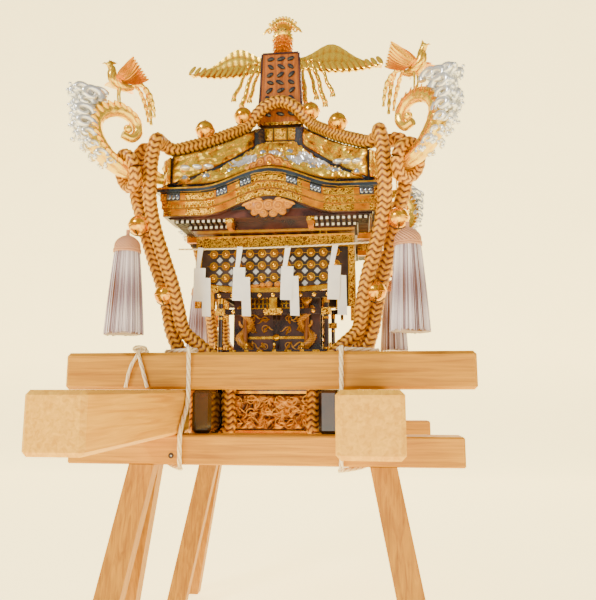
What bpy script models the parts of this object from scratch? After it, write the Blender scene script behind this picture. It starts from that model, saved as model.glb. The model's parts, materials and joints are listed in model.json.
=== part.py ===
# Portable shrine (mikoshi) standing on two trestles.
# Metres, +Z up, front faces -Y, origin on the floor under the middle.

import math

import bmesh
import bpy
from mathutils import Matrix, Vector

# Clearance between touching pieces
GAP = 0.0003

# Base plan, which the poles, trestles, fence and gates follow
BASE_HALF = 0.235
BASE_LIP = 0.012
SLOT_CLEARANCE = 0.001
SLOT_WALL = 0.018

# Trestles
TRESTLE_TOP = 0.70
TRESTLE_HALF_LENGTH = 0.53
TRESTLE_BEAM_HEIGHT = 0.078
TRESTLE_BEAM_DEPTH = 0.09
TRESTLE_Y = BASE_HALF + 0.162
LEG_X = 0.322
LEG_WIDTH = 0.07
LEG_THICKNESS = 0.044
LEG_LEAN_X = 0.118
LEG_SPLAY_Y = 0.105

# Carrying poles
MAIN_POLE_WIDTH = 0.055
MAIN_POLE_INNER_X = BASE_HALF - BASE_LIP - SLOT_WALL - MAIN_POLE_WIDTH
MAIN_POLE_HEIGHT = 0.12
MAIN_POLE_HALF_LENGTH = 0.38
POLE_SPACE = 0.018
SIDE_POLE_INNER_X = MAIN_POLE_INNER_X + MAIN_POLE_WIDTH + POLE_SPACE
SIDE_POLE_WIDTH = 0.12
SIDE_POLE_BACK_Y = BASE_HALF + 0.095
SIDE_POLE_FRONT_Y = 1.0
CROSS_POLE_HALF_LENGTH = 0.58
CROSS_POLE_HEIGHT = 0.105
CROSS_POLE_DEPTH = 0.105
CORD_SPACE = 0.042
CROSS_POLE_FRONT_Y = BASE_HALF + CORD_SPACE + CROSS_POLE_DEPTH
POLE_ROUND = 0.009
ROPE_RADIUS = 0.006
LASHING_SHIFT = 0.098

# Base and fence
BASE_BOTTOM = 0.665
FLOOR_Z = 0.85
FENCE_HALF = BASE_HALF - 0.045
FENCE_THICKNESS = 0.010
FENCE_HEIGHT = 0.115
FENCE_POST = 0.014
FENCE_POSTS = 5

# Torii
TORII_Y = BASE_HALF - 0.016
TORII_POST_X = BASE_HALF - 0.070
TORII_POST_RADIUS = 0.0075
TORII_HEIGHT = 0.287
TORII_CAP_HALF = BASE_HALF - 0.035

# Chamber and dragon posts
CHAMBER_HALF = BASE_HALF - 0.095
CHAMBER_WALL = 0.012
CHAMBER_TOP = 1.25
DRAGON_RADIUS = 0.013
DRAGON_X = CHAMBER_HALF - 0.042
DRAGON_Y = CHAMBER_HALF + 0.0235
DRAGON_HEIGHT = 0.265

# Roof and its rafters: half width and top of each step, from the chamber outward
ROOF_BODY_HALF = 0.313
RAFTER_STEPS = ((CHAMBER_HALF + 0.010, 1.285), (CHAMBER_HALF + 0.040, 1.312),
                (CHAMBER_HALF + 0.115, 1.336), (ROOF_BODY_HALF - 0.005, 1.360))
ROOF_HALF = ROOF_BODY_HALF + 0.032
ROOF_TOP_HALF = 0.086
EAVES_Z = 1.425
ROOF_TOP_Z = 1.665
RIM_THICKNESS = 0.013
GABLE_RISE = 0.055
GABLE_SHARE = 0.62
RIDGE_HALF_WIDTH = 0.024
RIDGE_END = ROOF_HALF - 0.028
RIDGE_CLEARANCE = 0.006

# Gable boards
BOARD_THICKNESS = 0.0185
BOARD_INNER = ROOF_BODY_HALF + 0.0015
BOARD_OUTER = BOARD_INNER + BOARD_THICKNESS
BOARD_STEP = 0.004
BOARD_HEIGHT = 0.070
BOARD_LAYERS = 3
PENDANT_HALF_WIDTH = 0.072
PENDANT_DROP = 0.072
PENDANT_THICKNESS = 0.014

# Net frames
NET_Y = CHAMBER_HALF + 0.060
NET_HALF_FRONT = NET_Y + 0.052
NET_HALF_SIDE = NET_Y - 0.014
NET_TOP = 1.305
NET_BAR_HEIGHT = 0.041
NET_BOTTOM = 1.130
NET_STRIP_BOTTOM = 1.075
NET_STRIP_WIDTH = 0.020
NET_THICKNESS = 0.006

# Roof top
BASIN_HALF = 0.080
BASIN_TOP = 1.745
BOARD_FOOT_HALF = BASIN_HALF - 0.001
BOARD_HEAD_HALF = 0.066
NAME_BOARD_Y = 0.0685
NAME_BOARD_THICKNESS = 0.024
NAME_BOARD_HEIGHT = 0.262

# Corner scrolls and the small birds on them
SCROLL_START = ROOF_HALF - 0.014
SCROLL_RADIUS = 0.0185
SCROLL_TOP = 1.638

# Phoenix
PHOENIX_Y = 0.012
WING_REACH = 0.348
WING_Z = 2.030
WING_HUMP = 0.066
WING_DROP = 0.034

# Cords, bells and tassels
CORD_RADIUS = 0.019
BELL_RADIUS = 0.031
TASSEL_A = ROOF_HALF + 0.057
TASSEL_TOP = 1.262
TASSEL_LENGTH = 0.290
TASSEL_TOP_RADIUS = 0.035
TASSEL_FOOT_RADIUS = 0.056

# Straw rope and paper streamers
STRAW_RADIUS = 0.0025
STRAW_Z = 1.262
STRAW_Y = TORII_Y + 0.0225
STRAW_HALF = NET_HALF_FRONT + 0.048
STREAMER_THICKNESS = 0.0012

SIDES = ("front", "right", "rear", "left")


def clear_scene():
    for old in list(bpy.data.objects):
        bpy.data.objects.remove(old, do_unlink=True)


def collection(name):
    found = bpy.data.collections.new(name)
    bpy.context.scene.collection.children.link(found)
    return found


def material(name, colour, roughness, metallic=0.0):
    made = bpy.data.materials.new(name)
    made.use_nodes = True
    shader = made.node_tree.nodes["Principled BSDF"]
    shader.inputs["Base Color"].default_value = (*colour, 1.0)
    shader.inputs["Roughness"].default_value = roughness
    shader.inputs["Metallic"].default_value = metallic
    return made


def add_object(name, mesh, finish, smooth=None):
    made = bpy.data.objects.new(name, mesh)
    PARTS.objects.link(made)
    mesh.materials.clear()
    mesh.materials.append(finish)
    if smooth is not None:
        mesh.shade_smooth()
        mesh.set_sharp_from_angle(angle=math.radians(smooth))
    return made


def from_bmesh(name, bm, finish, smooth=None):
    bmesh.ops.recalc_face_normals(bm, faces=bm.faces)
    mesh = bpy.data.meshes.new(name)
    bm.to_mesh(mesh)
    bm.free()
    return add_object(name, mesh, finish, smooth)


def bake(item):
    """Replace an object's mesh by its evaluated one."""
    graph = bpy.context.evaluated_depsgraph_get()
    mesh = bpy.data.meshes.new_from_object(item.evaluated_get(graph))
    item.modifiers.clear()
    item.data = mesh
    return item


def drop(item):
    bpy.data.objects.remove(item, do_unlink=True)


def fuse(name, pieces, finish, smooth=None):
    """Union of touching pieces as one body."""
    body = pieces[0]
    for piece in pieces[1:]:
        join = body.modifiers.new("join", "BOOLEAN")
        join.operation = "UNION"
        join.solver = "EXACT"
        join.object = piece
        bake(body)
        drop(piece)
    body.name = name
    body.data.materials.clear()
    body.data.materials.append(finish)
    if smooth is not None:
        body.data.shade_smooth()
        body.data.set_sharp_from_angle(angle=math.radians(smooth))
    return body


def box(name, low, high, finish, rounding=0.0):
    low, high = Vector(low), Vector(high)
    size = high - low
    bm = bmesh.new()
    matrix = Matrix.Translation((low + high) / 2) @ Matrix.Diagonal((*size, 1.0))
    bmesh.ops.create_cube(bm, size=1.0, matrix=matrix)
    made = from_bmesh(name, bm, finish)
    if rounding:
        bevel = made.modifiers.new("rounding", "BEVEL")
        bevel.width = rounding
        bevel.segments = 1
    return made


def loft(name, rings, finish, smooth=None, closed=False):
    """Skin equal rings of points, capped at both ends unless the rings close on themselves."""
    bm = bmesh.new()
    rows = [[bm.verts.new(point) for point in ring] for ring in rings]
    count = len(rows[0])
    pairs = list(zip(rows, rows[1:]))
    if closed:
        pairs.append((rows[-1], rows[0]))
    for lower, upper in pairs:
        for index in range(count):
            after = (index + 1) % count
            bm.faces.new((lower[index], lower[after], upper[after], upper[index]))
    if not closed:
        bm.faces.new(rows[0][::-1])
        bm.faces.new(rows[-1])
    return from_bmesh(name, bm, finish, smooth)


def tube(name, points, radius, finish, resolution=2, radii=None, cyclic=False, smooth=60):
    """Tube along points, made from a bevelled curve with its caps welded."""
    curve = bpy.data.curves.new(name, "CURVE")
    curve.dimensions = "3D"
    curve.bevel_depth = radius
    curve.bevel_resolution = resolution
    curve.use_fill_caps = True
    spline = curve.splines.new("POLY")
    spline.points.add(len(points) - 1)
    for index, point in enumerate(points):
        spline.points[index].co = (*point, 1.0)
        spline.points[index].radius = radii[index] if radii else 1.0
    spline.use_cyclic_u = cyclic
    guide = bpy.data.objects.new(name, curve)
    PARTS.objects.link(guide)
    graph = bpy.context.evaluated_depsgraph_get()
    mesh = bpy.data.meshes.new_from_object(guide.evaluated_get(graph))
    drop(guide)
    bm = bmesh.new()
    bm.from_mesh(mesh)
    bmesh.ops.remove_doubles(bm, verts=bm.verts, dist=0.00005)
    return from_bmesh(name, bm, finish, smooth)


def smooth_route(points, spacing, cyclic=False):
    """Evenly spaced points on the smooth curve through the given ones."""
    points = [Vector(point) for point in points]
    count = len(points)
    dense = []
    spans = count if cyclic else count - 1
    for index in range(spans):
        if cyclic:
            p0, p1, p2, p3 = (points[(index + step) % count] for step in (-1, 0, 1, 2))
        else:
            p0 = points[max(index - 1, 0)]
            p1 = points[index]
            p2 = points[index + 1]
            p3 = points[min(index + 2, count - 1)]
        for step in range(10):
            t = step / 10
            dense.append(0.5 * (2 * p1 + (p2 - p0) * t + (2 * p0 - 5 * p1 + 4 * p2 - p3) * t * t
                                + (3 * p1 - p0 - 3 * p2 + p3) * t ** 3))
    dense.append(points[0] if cyclic else points[-1])
    lengths = [0.0]
    for first, second in zip(dense, dense[1:]):
        lengths.append(lengths[-1] + (second - first).length)
    steps = max(3, round(lengths[-1] / spacing))
    picked = []
    cursor = 0
    for step in range(steps if cyclic else steps + 1):
        wanted = lengths[-1] * step / steps
        while cursor < len(dense) - 2 and lengths[cursor + 1] < wanted:
            cursor += 1
        span = lengths[cursor + 1] - lengths[cursor]
        share = (wanted - lengths[cursor]) / span if span else 0.0
        picked.append(dense[cursor].lerp(dense[cursor + 1], min(max(share, 0.0), 1.0)))
    return picked


def square_turned(name, profile, finish):
    """Square-plan moulding: (half width, height) points from top to bottom."""
    rings = []
    for half, height in profile:
        rings.append([Vector((half, -half, height)), Vector((half, half, height)),
                      Vector((-half, half, height)), Vector((-half, -half, height))])
    return loft(name, rings, finish)


def turned(name, profile, centre, finish, steps=16):
    """Round turning: (radius, height) points from top to bottom, around a vertical axis."""
    rings = []
    for radius, height in profile:
        rings.append([Vector((centre[0] + radius * math.cos(2 * math.pi * k / steps),
                              centre[1] + radius * math.sin(2 * math.pi * k / steps),
                              centre[2] + height)) for k in range(steps)])
    return loft(name, rings, finish, smooth=50)


def copy_turned(item, name, quarter_turns):
    """Copy of an object turned about the vertical axis in quarter turns."""
    mesh = item.data.copy()
    mesh.transform(Matrix.Rotation(math.pi / 2 * quarter_turns, 4, "Z"))
    made = bpy.data.objects.new(name, mesh)
    PARTS.objects.link(made)
    return made


def four_sides(item, stem):
    """Name an object as the front one and add it to the other three sides."""
    item.name = f"{stem}_front"
    for turns, side in enumerate(SIDES[1:], start=1):
        copy_turned(item, f"{stem}_{side}", turns)


def four_corners(item, stem):
    """Name an object as the front left one and add it to the other three corners."""
    item.name = f"{stem}_front_left"
    for turns, corner in enumerate(("front_right", "rear_right", "rear_left"), start=1):
        copy_turned(item, f"{stem}_{corner}", turns)


def corner(a, q, z):
    """Front left corner point: a out along both axes, q sideways towards the front, z up."""
    shift = q * math.sqrt(0.5)
    return Vector((-a + shift, -a - shift, z))


def gable_rise(share):
    """Rise of the undulating gable at a share of the half width."""
    if abs(share) >= GABLE_SHARE:
        return 0.0
    return GABLE_RISE * math.cos(math.pi / 2 * share / GABLE_SHARE) ** 2


def roof_height(half):
    """Height of the plain roof slope at a half width."""
    climb = (ROOF_HALF - half) / (ROOF_HALF - ROOF_TOP_HALF)
    return EAVES_Z + (ROOF_TOP_Z - EAVES_Z) * (0.72 * climb + 0.28 * climb ** 2)


def cord_height(a):
    """Height of the cord's centre where it lies along a corner ridge."""
    return 1.847 - 1.28 * a + 1.13 * a * a


def side_shares():
    """Shares of the half width where the gable curve needs a section."""
    steps = 10
    return [GABLE_SHARE * (2 * k / steps - 1) for k in range(steps + 1)]


def make_trestle(place, sign):
    y = sign * TRESTLE_Y
    bottom = TRESTLE_TOP - TRESTLE_BEAM_HEIGHT
    half = TRESTLE_BEAM_DEPTH / 2
    box(f"trestle_beam_{place}", (-TRESTLE_HALF_LENGTH, y - half, bottom),
        (TRESTLE_HALF_LENGTH, y + half, TRESTLE_TOP - GAP), PINE, 0.004)
    for side, hand in (("left", -1), ("right", 1)):
        legs = []
        for splay in (-1, 1):
            top = Vector((hand * LEG_X, y + splay * LEG_THICKNESS * 0.48, bottom - GAP))
            foot = Vector((hand * (LEG_X + LEG_LEAN_X), y + splay * LEG_SPLAY_Y, 0.0))
            rings = []
            for centre in (foot, top):
                dx, dy = LEG_WIDTH / 2, LEG_THICKNESS / 2
                rings.append([centre + Vector((sx * dx, sy * dy, 0.0))
                              for sx, sy in ((-1, -1), (1, -1), (1, 1), (-1, 1))])
            legs.append(loft(f"leg_{splay}", rings, PINE))
        fuse(f"trestle_legs_{place}_{side}", legs, PINE)


def make_poles():
    top = TRESTLE_TOP + MAIN_POLE_HEIGHT
    for side, hand in (("left", -1), ("right", 1)):
        xs = sorted((hand * MAIN_POLE_INNER_X, hand * (MAIN_POLE_INNER_X + MAIN_POLE_WIDTH)))
        box(f"main_pole_{side}", (xs[0], -MAIN_POLE_HALF_LENGTH, TRESTLE_TOP),
            (xs[1], MAIN_POLE_HALF_LENGTH, top), LACQUER, POLE_ROUND)
        xs = sorted((hand * SIDE_POLE_INNER_X, hand * (SIDE_POLE_INNER_X + SIDE_POLE_WIDTH)))
        for place, sign in (("front", -1), ("rear", 1)):
            ys = sorted((sign * SIDE_POLE_BACK_Y, sign * SIDE_POLE_FRONT_Y))
            box(f"side_pole_{place}_{side}", (xs[0], ys[0], TRESTLE_TOP),
                (xs[1], ys[1], top), PINE, POLE_ROUND)
    for place, sign in (("front", -1), ("rear", 1)):
        ys = sorted((sign * CROSS_POLE_FRONT_Y, sign * (CROSS_POLE_FRONT_Y - CROSS_POLE_DEPTH)))
        box(f"cross_pole_{place}", (-CROSS_POLE_HALF_LENGTH, ys[0], top + GAP),
            (CROSS_POLE_HALF_LENGTH, ys[1], top + CROSS_POLE_HEIGHT), PINE, POLE_ROUND)


def make_lashings():
    """Rope loop round the cross pole and the trestle beam, down between the poles."""
    clear = ROPE_RADIUS + 0.002
    near_x = -(MAIN_POLE_INNER_X + MAIN_POLE_WIDTH + SIDE_POLE_INNER_X) / 2
    far_x = near_x - LASHING_SHIFT
    low_x = near_x - 0.6 * LASHING_SHIFT
    pole_top = TRESTLE_TOP + MAIN_POLE_HEIGHT + CROSS_POLE_HEIGHT
    pole_front = -CROSS_POLE_FRONT_Y
    pole_back = pole_front + CROSS_POLE_DEPTH
    beam_front = -(TRESTLE_Y + TRESTLE_BEAM_DEPTH / 2)
    beam_back = beam_front + TRESTLE_BEAM_DEPTH
    beam_bottom = TRESTLE_TOP - TRESTLE_BEAM_HEIGHT
    behind_pole = -SIDE_POLE_BACK_Y + clear
    route = [
        (near_x, pole_front - clear, pole_top - 0.002),
        (near_x, pole_front - clear, TRESTLE_TOP + 0.090),
        (near_x, beam_front - clear, TRESTLE_TOP + 0.010),
        (near_x, beam_front - clear, beam_bottom + 0.002),
        (near_x, beam_front - 0.002, beam_bottom - clear),
        (low_x, beam_back + 0.002, beam_bottom - clear),
        (low_x, beam_back + clear, beam_bottom + 0.002),
        (low_x, beam_back + clear + 0.002, TRESTLE_TOP - 0.028),
        (low_x, behind_pole, TRESTLE_TOP),
        (far_x, behind_pole, TRESTLE_TOP + 0.085),
        (far_x, pole_back + clear, TRESTLE_TOP + MAIN_POLE_HEIGHT - 0.008),
        (far_x, pole_back + clear, pole_top - 0.002),
        (far_x, pole_back - 0.002, pole_top + clear),
        (near_x, pole_front + 0.002, pole_top + clear),
    ]
    first = tube("lashing_front_left", route, ROPE_RADIUS, ROPE, resolution=1, cyclic=True)
    mirrored = [(-x, y, z) for x, y, z in route]
    second = tube("lashing_front_right", mirrored, ROPE_RADIUS, ROPE, resolution=1, cyclic=True)
    copy_turned(second, "lashing_rear_left", 2)
    copy_turned(first, "lashing_rear_right", 2)


def make_base():
    """Base with a lip above and below, slotted for the main poles."""
    inner = BASE_HALF - BASE_LIP
    profile = [(BASE_HALF, FLOOR_Z), (BASE_HALF, FLOOR_Z - 0.022), (inner, FLOOR_Z - 0.030),
               (inner, BASE_BOTTOM + 0.024), (BASE_HALF, BASE_BOTTOM + 0.016),
               (BASE_HALF, BASE_BOTTOM)]
    body = square_turned("base", profile, GILT)
    for hand in (-1, 1):
        xs = sorted((hand * (MAIN_POLE_INNER_X - SLOT_CLEARANCE),
                     hand * (MAIN_POLE_INNER_X + MAIN_POLE_WIDTH + SLOT_CLEARANCE)))
        cutter = box("slot", (xs[0], -0.5, TRESTLE_TOP - SLOT_CLEARANCE),
                     (xs[1], 0.5, TRESTLE_TOP + MAIN_POLE_HEIGHT + SLOT_CLEARANCE), GILT)
        cut = body.modifiers.new("slot", "BOOLEAN")
        cut.operation = "DIFFERENCE"
        cut.solver = "EXACT"
        cut.object = cutter
        bake(body)
        drop(cutter)


def make_fence():
    """Fence side: posts on a plinth rail, a pierced panel and a top rail."""
    low = FLOOR_Z + GAP
    half = FENCE_HALF - FENCE_POST / 2 - 0.001
    depth = FENCE_THICKNESS / 2
    pieces = [
        box("rail", (-half, -FENCE_HALF - depth, low), (half, -FENCE_HALF + depth, low + 0.03), GILT),
        box("rail", (-half, -FENCE_HALF - depth, low + FENCE_HEIGHT - 0.034),
            (half, -FENCE_HALF + depth, low + FENCE_HEIGHT - 0.020), GILT),
    ]
    for index in range(FENCE_POSTS):
        x = -half + FENCE_POST / 2 + (2 * half - FENCE_POST) * index / (FENCE_POSTS - 1)
        post = FENCE_POST / 2
        pieces.append(box("post", (x - post, -FENCE_HALF - post + 0.001, low),
                          (x + post, -FENCE_HALF + post - 0.001, low + FENCE_HEIGHT), GILT))
    four_sides(fuse("fence", pieces, GILT), "fence")


def make_torii():
    """Gate with two posts, a tie beam, a strut and an upswept cap on a lintel."""
    low = FLOOR_Z + GAP
    top = FLOOR_Z + TORII_HEIGHT
    depth = 0.009
    pieces = []
    for hand in (-1, 1):
        profile = [(TORII_POST_RADIUS, TORII_HEIGHT - 0.020), (TORII_POST_RADIUS, 0.014),
                   (TORII_POST_RADIUS + 0.002, 0.012), (TORII_POST_RADIUS + 0.002, GAP)]
        pieces.append(turned("post", profile, (hand * TORII_POST_X, -TORII_Y, FLOOR_Z), BLACK, 8))
    pieces.append(box("tie", (-TORII_POST_X - 0.012, -TORII_Y - 0.005, low + 0.200),
                      (TORII_POST_X + 0.012, -TORII_Y + 0.005, low + 0.217), GILT))
    pieces.append(box("strut", (-0.010, -TORII_Y - 0.004, low + 0.210),
                      (0.010, -TORII_Y + 0.004, top - 0.020), GILT))
    pieces.append(box("lintel", (-TORII_CAP_HALF + 0.016, -TORII_Y - 0.007, top - 0.036),
                      (TORII_CAP_HALF - 0.016, -TORII_Y + 0.007, top - 0.018), GILT))
    rings = []
    for k in range(9):
        share = k / 4 - 1
        x = TORII_CAP_HALF * share
        lift = 0.012 * abs(share) ** 3
        rings.append([Vector((x, -TORII_Y + dy, top + lift + dz)) for dy, dz in
                      ((-depth, -0.019), (depth, -0.019), (depth, 0.0), (-depth, 0.0))])
    pieces.append(loft("cap", rings, GILT))
    gate = fuse("torii_front", pieces, GILT)
    copy_turned(gate, "torii_rear", 2)


def make_chamber():
    """Open box of four walls with a door frame raised on each side."""
    low, high = FLOOR_Z + GAP, CHAMBER_TOP
    body = box("chamber", (-CHAMBER_HALF, -CHAMBER_HALF, low), (CHAMBER_HALF, CHAMBER_HALF, high), GILT)
    inner = CHAMBER_HALF - CHAMBER_WALL
    cutter = box("hollow", (-inner, -inner, low - 0.1), (inner, inner, high + 0.1), GILT)
    cut = body.modifiers.new("hollow", "BOOLEAN")
    cut.operation = "DIFFERENCE"
    cut.solver = "EXACT"
    cut.object = cutter
    bake(body)
    drop(cutter)
    frames = []
    near, far = CHAMBER_HALF - 0.040, CHAMBER_HALF - 0.028
    middle = (near + far) / 2
    for turns in range(4):
        for x_low, x_high, z_low, z_high, raised in (
                (-far, -near, low + 0.020, high - 0.028, 0.004),
                (near, far, low + 0.020, high - 0.028, 0.004),
                (-middle, middle, high - 0.044, high - 0.031, 0.003),
                (-middle, middle, low + 0.023, low + 0.036, 0.003)):
            strip = box("frame", (x_low, -CHAMBER_HALF - raised, z_low),
                        (x_high, -CHAMBER_HALF + raised, z_high), GILT)
            strip.data.transform(Matrix.Rotation(math.pi / 2 * turns, 4, "Z"))
            frames.append(strip)
    fuse("chamber", [body] + frames, GILT)


def make_dragons():
    """Dragon coiled up its post: a tapering body wound round a stem, head at the top."""
    for side, hand in (("left", -1), ("right", 1)):
        centre = Vector((hand * DRAGON_X, -DRAGON_Y, FLOOR_Z + GAP))
        rings = []
        levels = 22
        sides = 8
        for level in range(levels + 1):
            share = level / levels
            swell = DRAGON_RADIUS * (1.0 - 0.25 * share)
            turn = hand * 4.2 * math.pi * share
            drift = Vector((math.cos(turn), math.sin(turn), 0)) * 0.004
            ring = []
            for k in range(sides):
                angle = 2 * math.pi * k / sides
                radius = swell * (1 + 0.28 * math.cos(angle - turn))
                ring.append(centre + drift + Vector((radius * math.cos(angle),
                                                     radius * math.sin(angle),
                                                     DRAGON_HEIGHT * share)))
            rings.append(ring)
        loft(f"dragon_post_{side}", rings, CARVING, smooth=70)


def make_rafters():
    """Stepped eaves rafters from the chamber's head out to the roof's underside."""
    profile = []
    low = CHAMBER_TOP + GAP
    for half, high in RAFTER_STEPS:
        profile += [(half, low), (half, high - GAP)]
        low = high - GAP
    square_turned("eaves_rafters", profile, BROWN)


def make_roof():
    """Roof shell ring by ring, with the four gable waves and the corner ridges."""
    shares = side_shares()
    rings = []

    def ring(half, height, wave, ridge):
        points = []
        for turns in range(4):
            turn = Matrix.Rotation(math.pi / 2 * turns, 3, "Z")
            shoulder = half - RIDGE_HALF_WIDTH * math.sqrt(2)
            row = [(-half, height + ridge), (-shoulder - 0.002, height + ridge), (-shoulder, height)]
            squeeze = min(1.0, (shoulder - 0.004) / (GABLE_SHARE * half))
            row += [(share * half * squeeze, height + wave * gable_rise(share)) for share in shares]
            row += [(shoulder, height), (shoulder + 0.002, height + ridge)]
            points += [turn @ Vector((x, -half, z)) for x, z in row]
        return points

    levels = 5
    rings.append(ring(ROOF_TOP_HALF - 0.001, ROOF_TOP_Z, 0.0, 0.0))
    for level in range(levels + 1):
        half = ROOF_TOP_HALF + (RIDGE_END - ROOF_TOP_HALF) * level / levels
        wave = ((half - ROOF_TOP_HALF) / (ROOF_HALF - ROOF_TOP_HALF)) ** 1.5
        height = roof_height(half)
        ridge = cord_height(half) - CORD_RADIUS - RIDGE_CLEARANCE - height
        rings.append(ring(half, height, wave, ridge))
    wave = ((RIDGE_END - ROOF_TOP_HALF) / (ROOF_HALF - ROOF_TOP_HALF)) ** 1.5
    rings.append(ring(RIDGE_END + 0.001, roof_height(RIDGE_END + 0.001), wave, 0.0))
    rings.append(ring(ROOF_HALF, EAVES_Z, 1.0, 0.0))
    rings.append(ring(ROOF_HALF, EAVES_Z - RIM_THICKNESS, 1.0, 0.0))
    rings.append(ring(ROOF_BODY_HALF, EAVES_Z - RIM_THICKNESS, 1.0, 0.0))
    rings.append(ring(ROOF_BODY_HALF, RAFTER_STEPS[-1][1], 0.0, 0.0))
    loft("roof", rings, GILT, smooth=35)


def make_gable_boards():
    """Stepped eaves board that follows the gable wave, mitred at the corners."""
    top = EAVES_Z - RIM_THICKNESS - 4 * GAP
    layer = BOARD_HEIGHT / BOARD_LAYERS
    section = []
    for index in range(BOARD_LAYERS):
        depth = BOARD_OUTER - BOARD_STEP * index
        section += [(depth, top - layer * index), (depth, top - layer * (index + 1))]
    section += [(BOARD_INNER, top - BOARD_HEIGHT), (BOARD_INNER, top)]
    rings = []
    for share in [-1.0] + side_shares() + [1.0]:
        rings.append([Vector((share * (depth - GAP), -depth, z + gable_rise(share)))
                      for depth, z in section])
    four_sides(loft("gable_board", rings, GILT, smooth=35), "gable_board")


def make_pendants():
    """Lobed carving under the gable, thicker in the middle."""
    top = EAVES_Z - RIM_THICKNESS - BOARD_HEIGHT - 5 * GAP
    y = -(BOARD_OUTER + BOARD_INNER) / 2
    steps = 12
    front = []
    for k in range(steps + 1):
        share = 2 * k / steps - 1
        x = PENDANT_HALF_WIDTH * share
        upper = top + gable_rise(x / BOARD_OUTER) - 0.0022
        lobe = 0.010 * abs(math.sin(3 * math.pi * share))
        drop_share = math.sqrt(max(0.0, 1 - share ** 2))
        lower = top + gable_rise(0) - 0.010 - (PENDANT_DROP - 0.016) * drop_share - lobe
        lower = min(lower, upper - 0.004)
        front.append((x, upper, lower))
    rings = []
    for x, upper, lower in front:
        swell = PENDANT_THICKNESS / 2 * (0.55 + 0.45 * (1 - (x / PENDANT_HALF_WIDTH) ** 2))
        middle = (upper + lower) / 2
        rings.append([Vector((x, y - swell * 0.6, lower)), Vector((x, y - swell, middle)),
                      Vector((x, y - swell * 0.6, upper)), Vector((x, y + swell * 0.6, upper)),
                      Vector((x, y + swell * 0.6, lower))])
    four_sides(loft("gable_pendant", rings, CARVING), "gable_pendant")


def make_nets():
    """Hanging net of discs in its frame: top bar, two strips and the net between."""
    depth = NET_THICKNESS / 2
    made = {}
    for width, half in (("wide", NET_HALF_FRONT), ("narrow", NET_HALF_SIDE)):
        bar_low = NET_TOP - NET_BAR_HEIGHT
        pieces = [
            box("bar", (-half, -NET_Y - depth, bar_low), (half, -NET_Y + depth, NET_TOP), GILT),
            box("net", (-half + 0.004, -NET_Y - 0.002, NET_BOTTOM),
                (half - 0.004, -NET_Y + 0.002, bar_low + 0.004), BLACK),
        ]
        for hand in (-1, 1):
            xs = sorted((hand * half, hand * (half - NET_STRIP_WIDTH)))
            pieces.append(box("strip", (xs[0], -NET_Y - depth + 0.0005, NET_STRIP_BOTTOM),
                              (xs[1], -NET_Y + depth - 0.0005, bar_low + 0.004), GILT))
        made[width] = fuse(f"net_{width}", pieces, GILT)
    made["wide"].name = "net_frame_front"
    copy_turned(made["wide"], "net_frame_rear", 2)
    copy_turned(made["narrow"], "net_frame_left", 3)
    made["narrow"].data.transform(Matrix.Rotation(math.pi / 2, 4, "Z"))
    made["narrow"].name = "net_frame_right"


def make_scrolls():
    """Corner scroll rising from the roof corner and curling back, with its spray."""
    arm = [(0.0, 0.180), (0.044, 0.183), (0.094, 0.174), (0.131, 0.143), (0.151, 0.098),
           (0.153, 0.053), (0.133, 0.016), (0.099, 0.0), (0.068, 0.016), (0.059, 0.050),
           (0.072, 0.076), (0.093, 0.072)]
    route = smooth_route([corner(SCROLL_START + out, 0.0, SCROLL_TOP - down) for out, down in arm], 0.036)
    count = len(route)
    radii = []
    for index in range(count):
        share = index / (count - 1)
        radii.append(1.0 - 0.45 * max(0.0, share - 0.45) / 0.55)
    stem = tube("stem", route, SCROLL_RADIUS, GILT, resolution=1, radii=radii)
    spray = []
    for index, (along, down, reach) in enumerate(((0.147, 0.138, 0.040), (0.161, 0.093, 0.042),
                                                  (0.163, 0.048, 0.044), (0.143, 0.010, 0.034))):
        out = Vector((-1, -1, 0)).normalized() * reach
        rise = Vector((0, 0, 0.010 + 0.006 * index))
        base = corner(SCROLL_START + along, 0.0, SCROLL_TOP - down) - out * 0.35
        points = [base, base + out * 0.7 + rise * 0.5, base + out * 1.25 + rise * 1.6]
        spray.append(tube("spray", points, 0.013, SILVER, resolution=1, radii=[1.0, 0.95, 0.45]))
    four_corners(fuse("corner_scroll", [stem] + spray, GILT, smooth=60), "corner_scroll")


def wing_plate(name, root, reach, chord, arch, droop, thickness, hand, finish, stations=7):
    """Feathered wing: a thin arched plate from root to tip with a scalloped rear edge."""
    rings = []
    for k in range(stations + 1):
        share = k / stations
        x = root[0] + hand * reach * share
        z = root[2] + arch * math.sin(math.pi * min(share * 1.15, 1.0)) - droop * share ** 2
        width = chord * (1.0 - share ** 2.2) * (1.0 + 0.12 * (k % 2)) + 0.012 * chord / 0.1
        sweep = 0.25 * chord * share
        half = thickness / 2 * (1.0 - 0.6 * share)
        front = root[1] - width * 0.45 + sweep
        back = root[1] + width * 0.55 + sweep
        rings.append([Vector((x, front, z - half)), Vector((x, back, z - half + 0.35 * width)),
                      Vector((x, back, z + half + 0.35 * width)), Vector((x, front, z + half))])
    return loft(name, rings, finish)


def phoenix_wing(hand):
    """Raised wing: humped upper edge, scalloped lower edge, swept back towards the tip."""
    stations = 10
    rings = []
    for k in range(stations + 1):
        share = k / stations
        x = hand * (0.015 + WING_REACH * share)
        upper = WING_Z + WING_HUMP * math.exp(-((share - 0.48) / 0.21) ** 2)
        lower = WING_Z - WING_DROP * (1.0 + 0.35 * math.sin(math.pi * share)) * (1.0 - share ** 7)
        lower += 0.007 * (k % 2) * (1.0 - share)
        half = 0.006 * (1.0 - 0.6 * share)
        back = PHOENIX_Y + 0.035 * share
        rings.append([Vector((x, back - 0.012 - half, lower)), Vector((x, back - 0.012 + half, lower)),
                      Vector((x, back + 0.018 + half, upper)), Vector((x, back + 0.018 - half, upper))])
    return loft("wing", rings, GILT)


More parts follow.
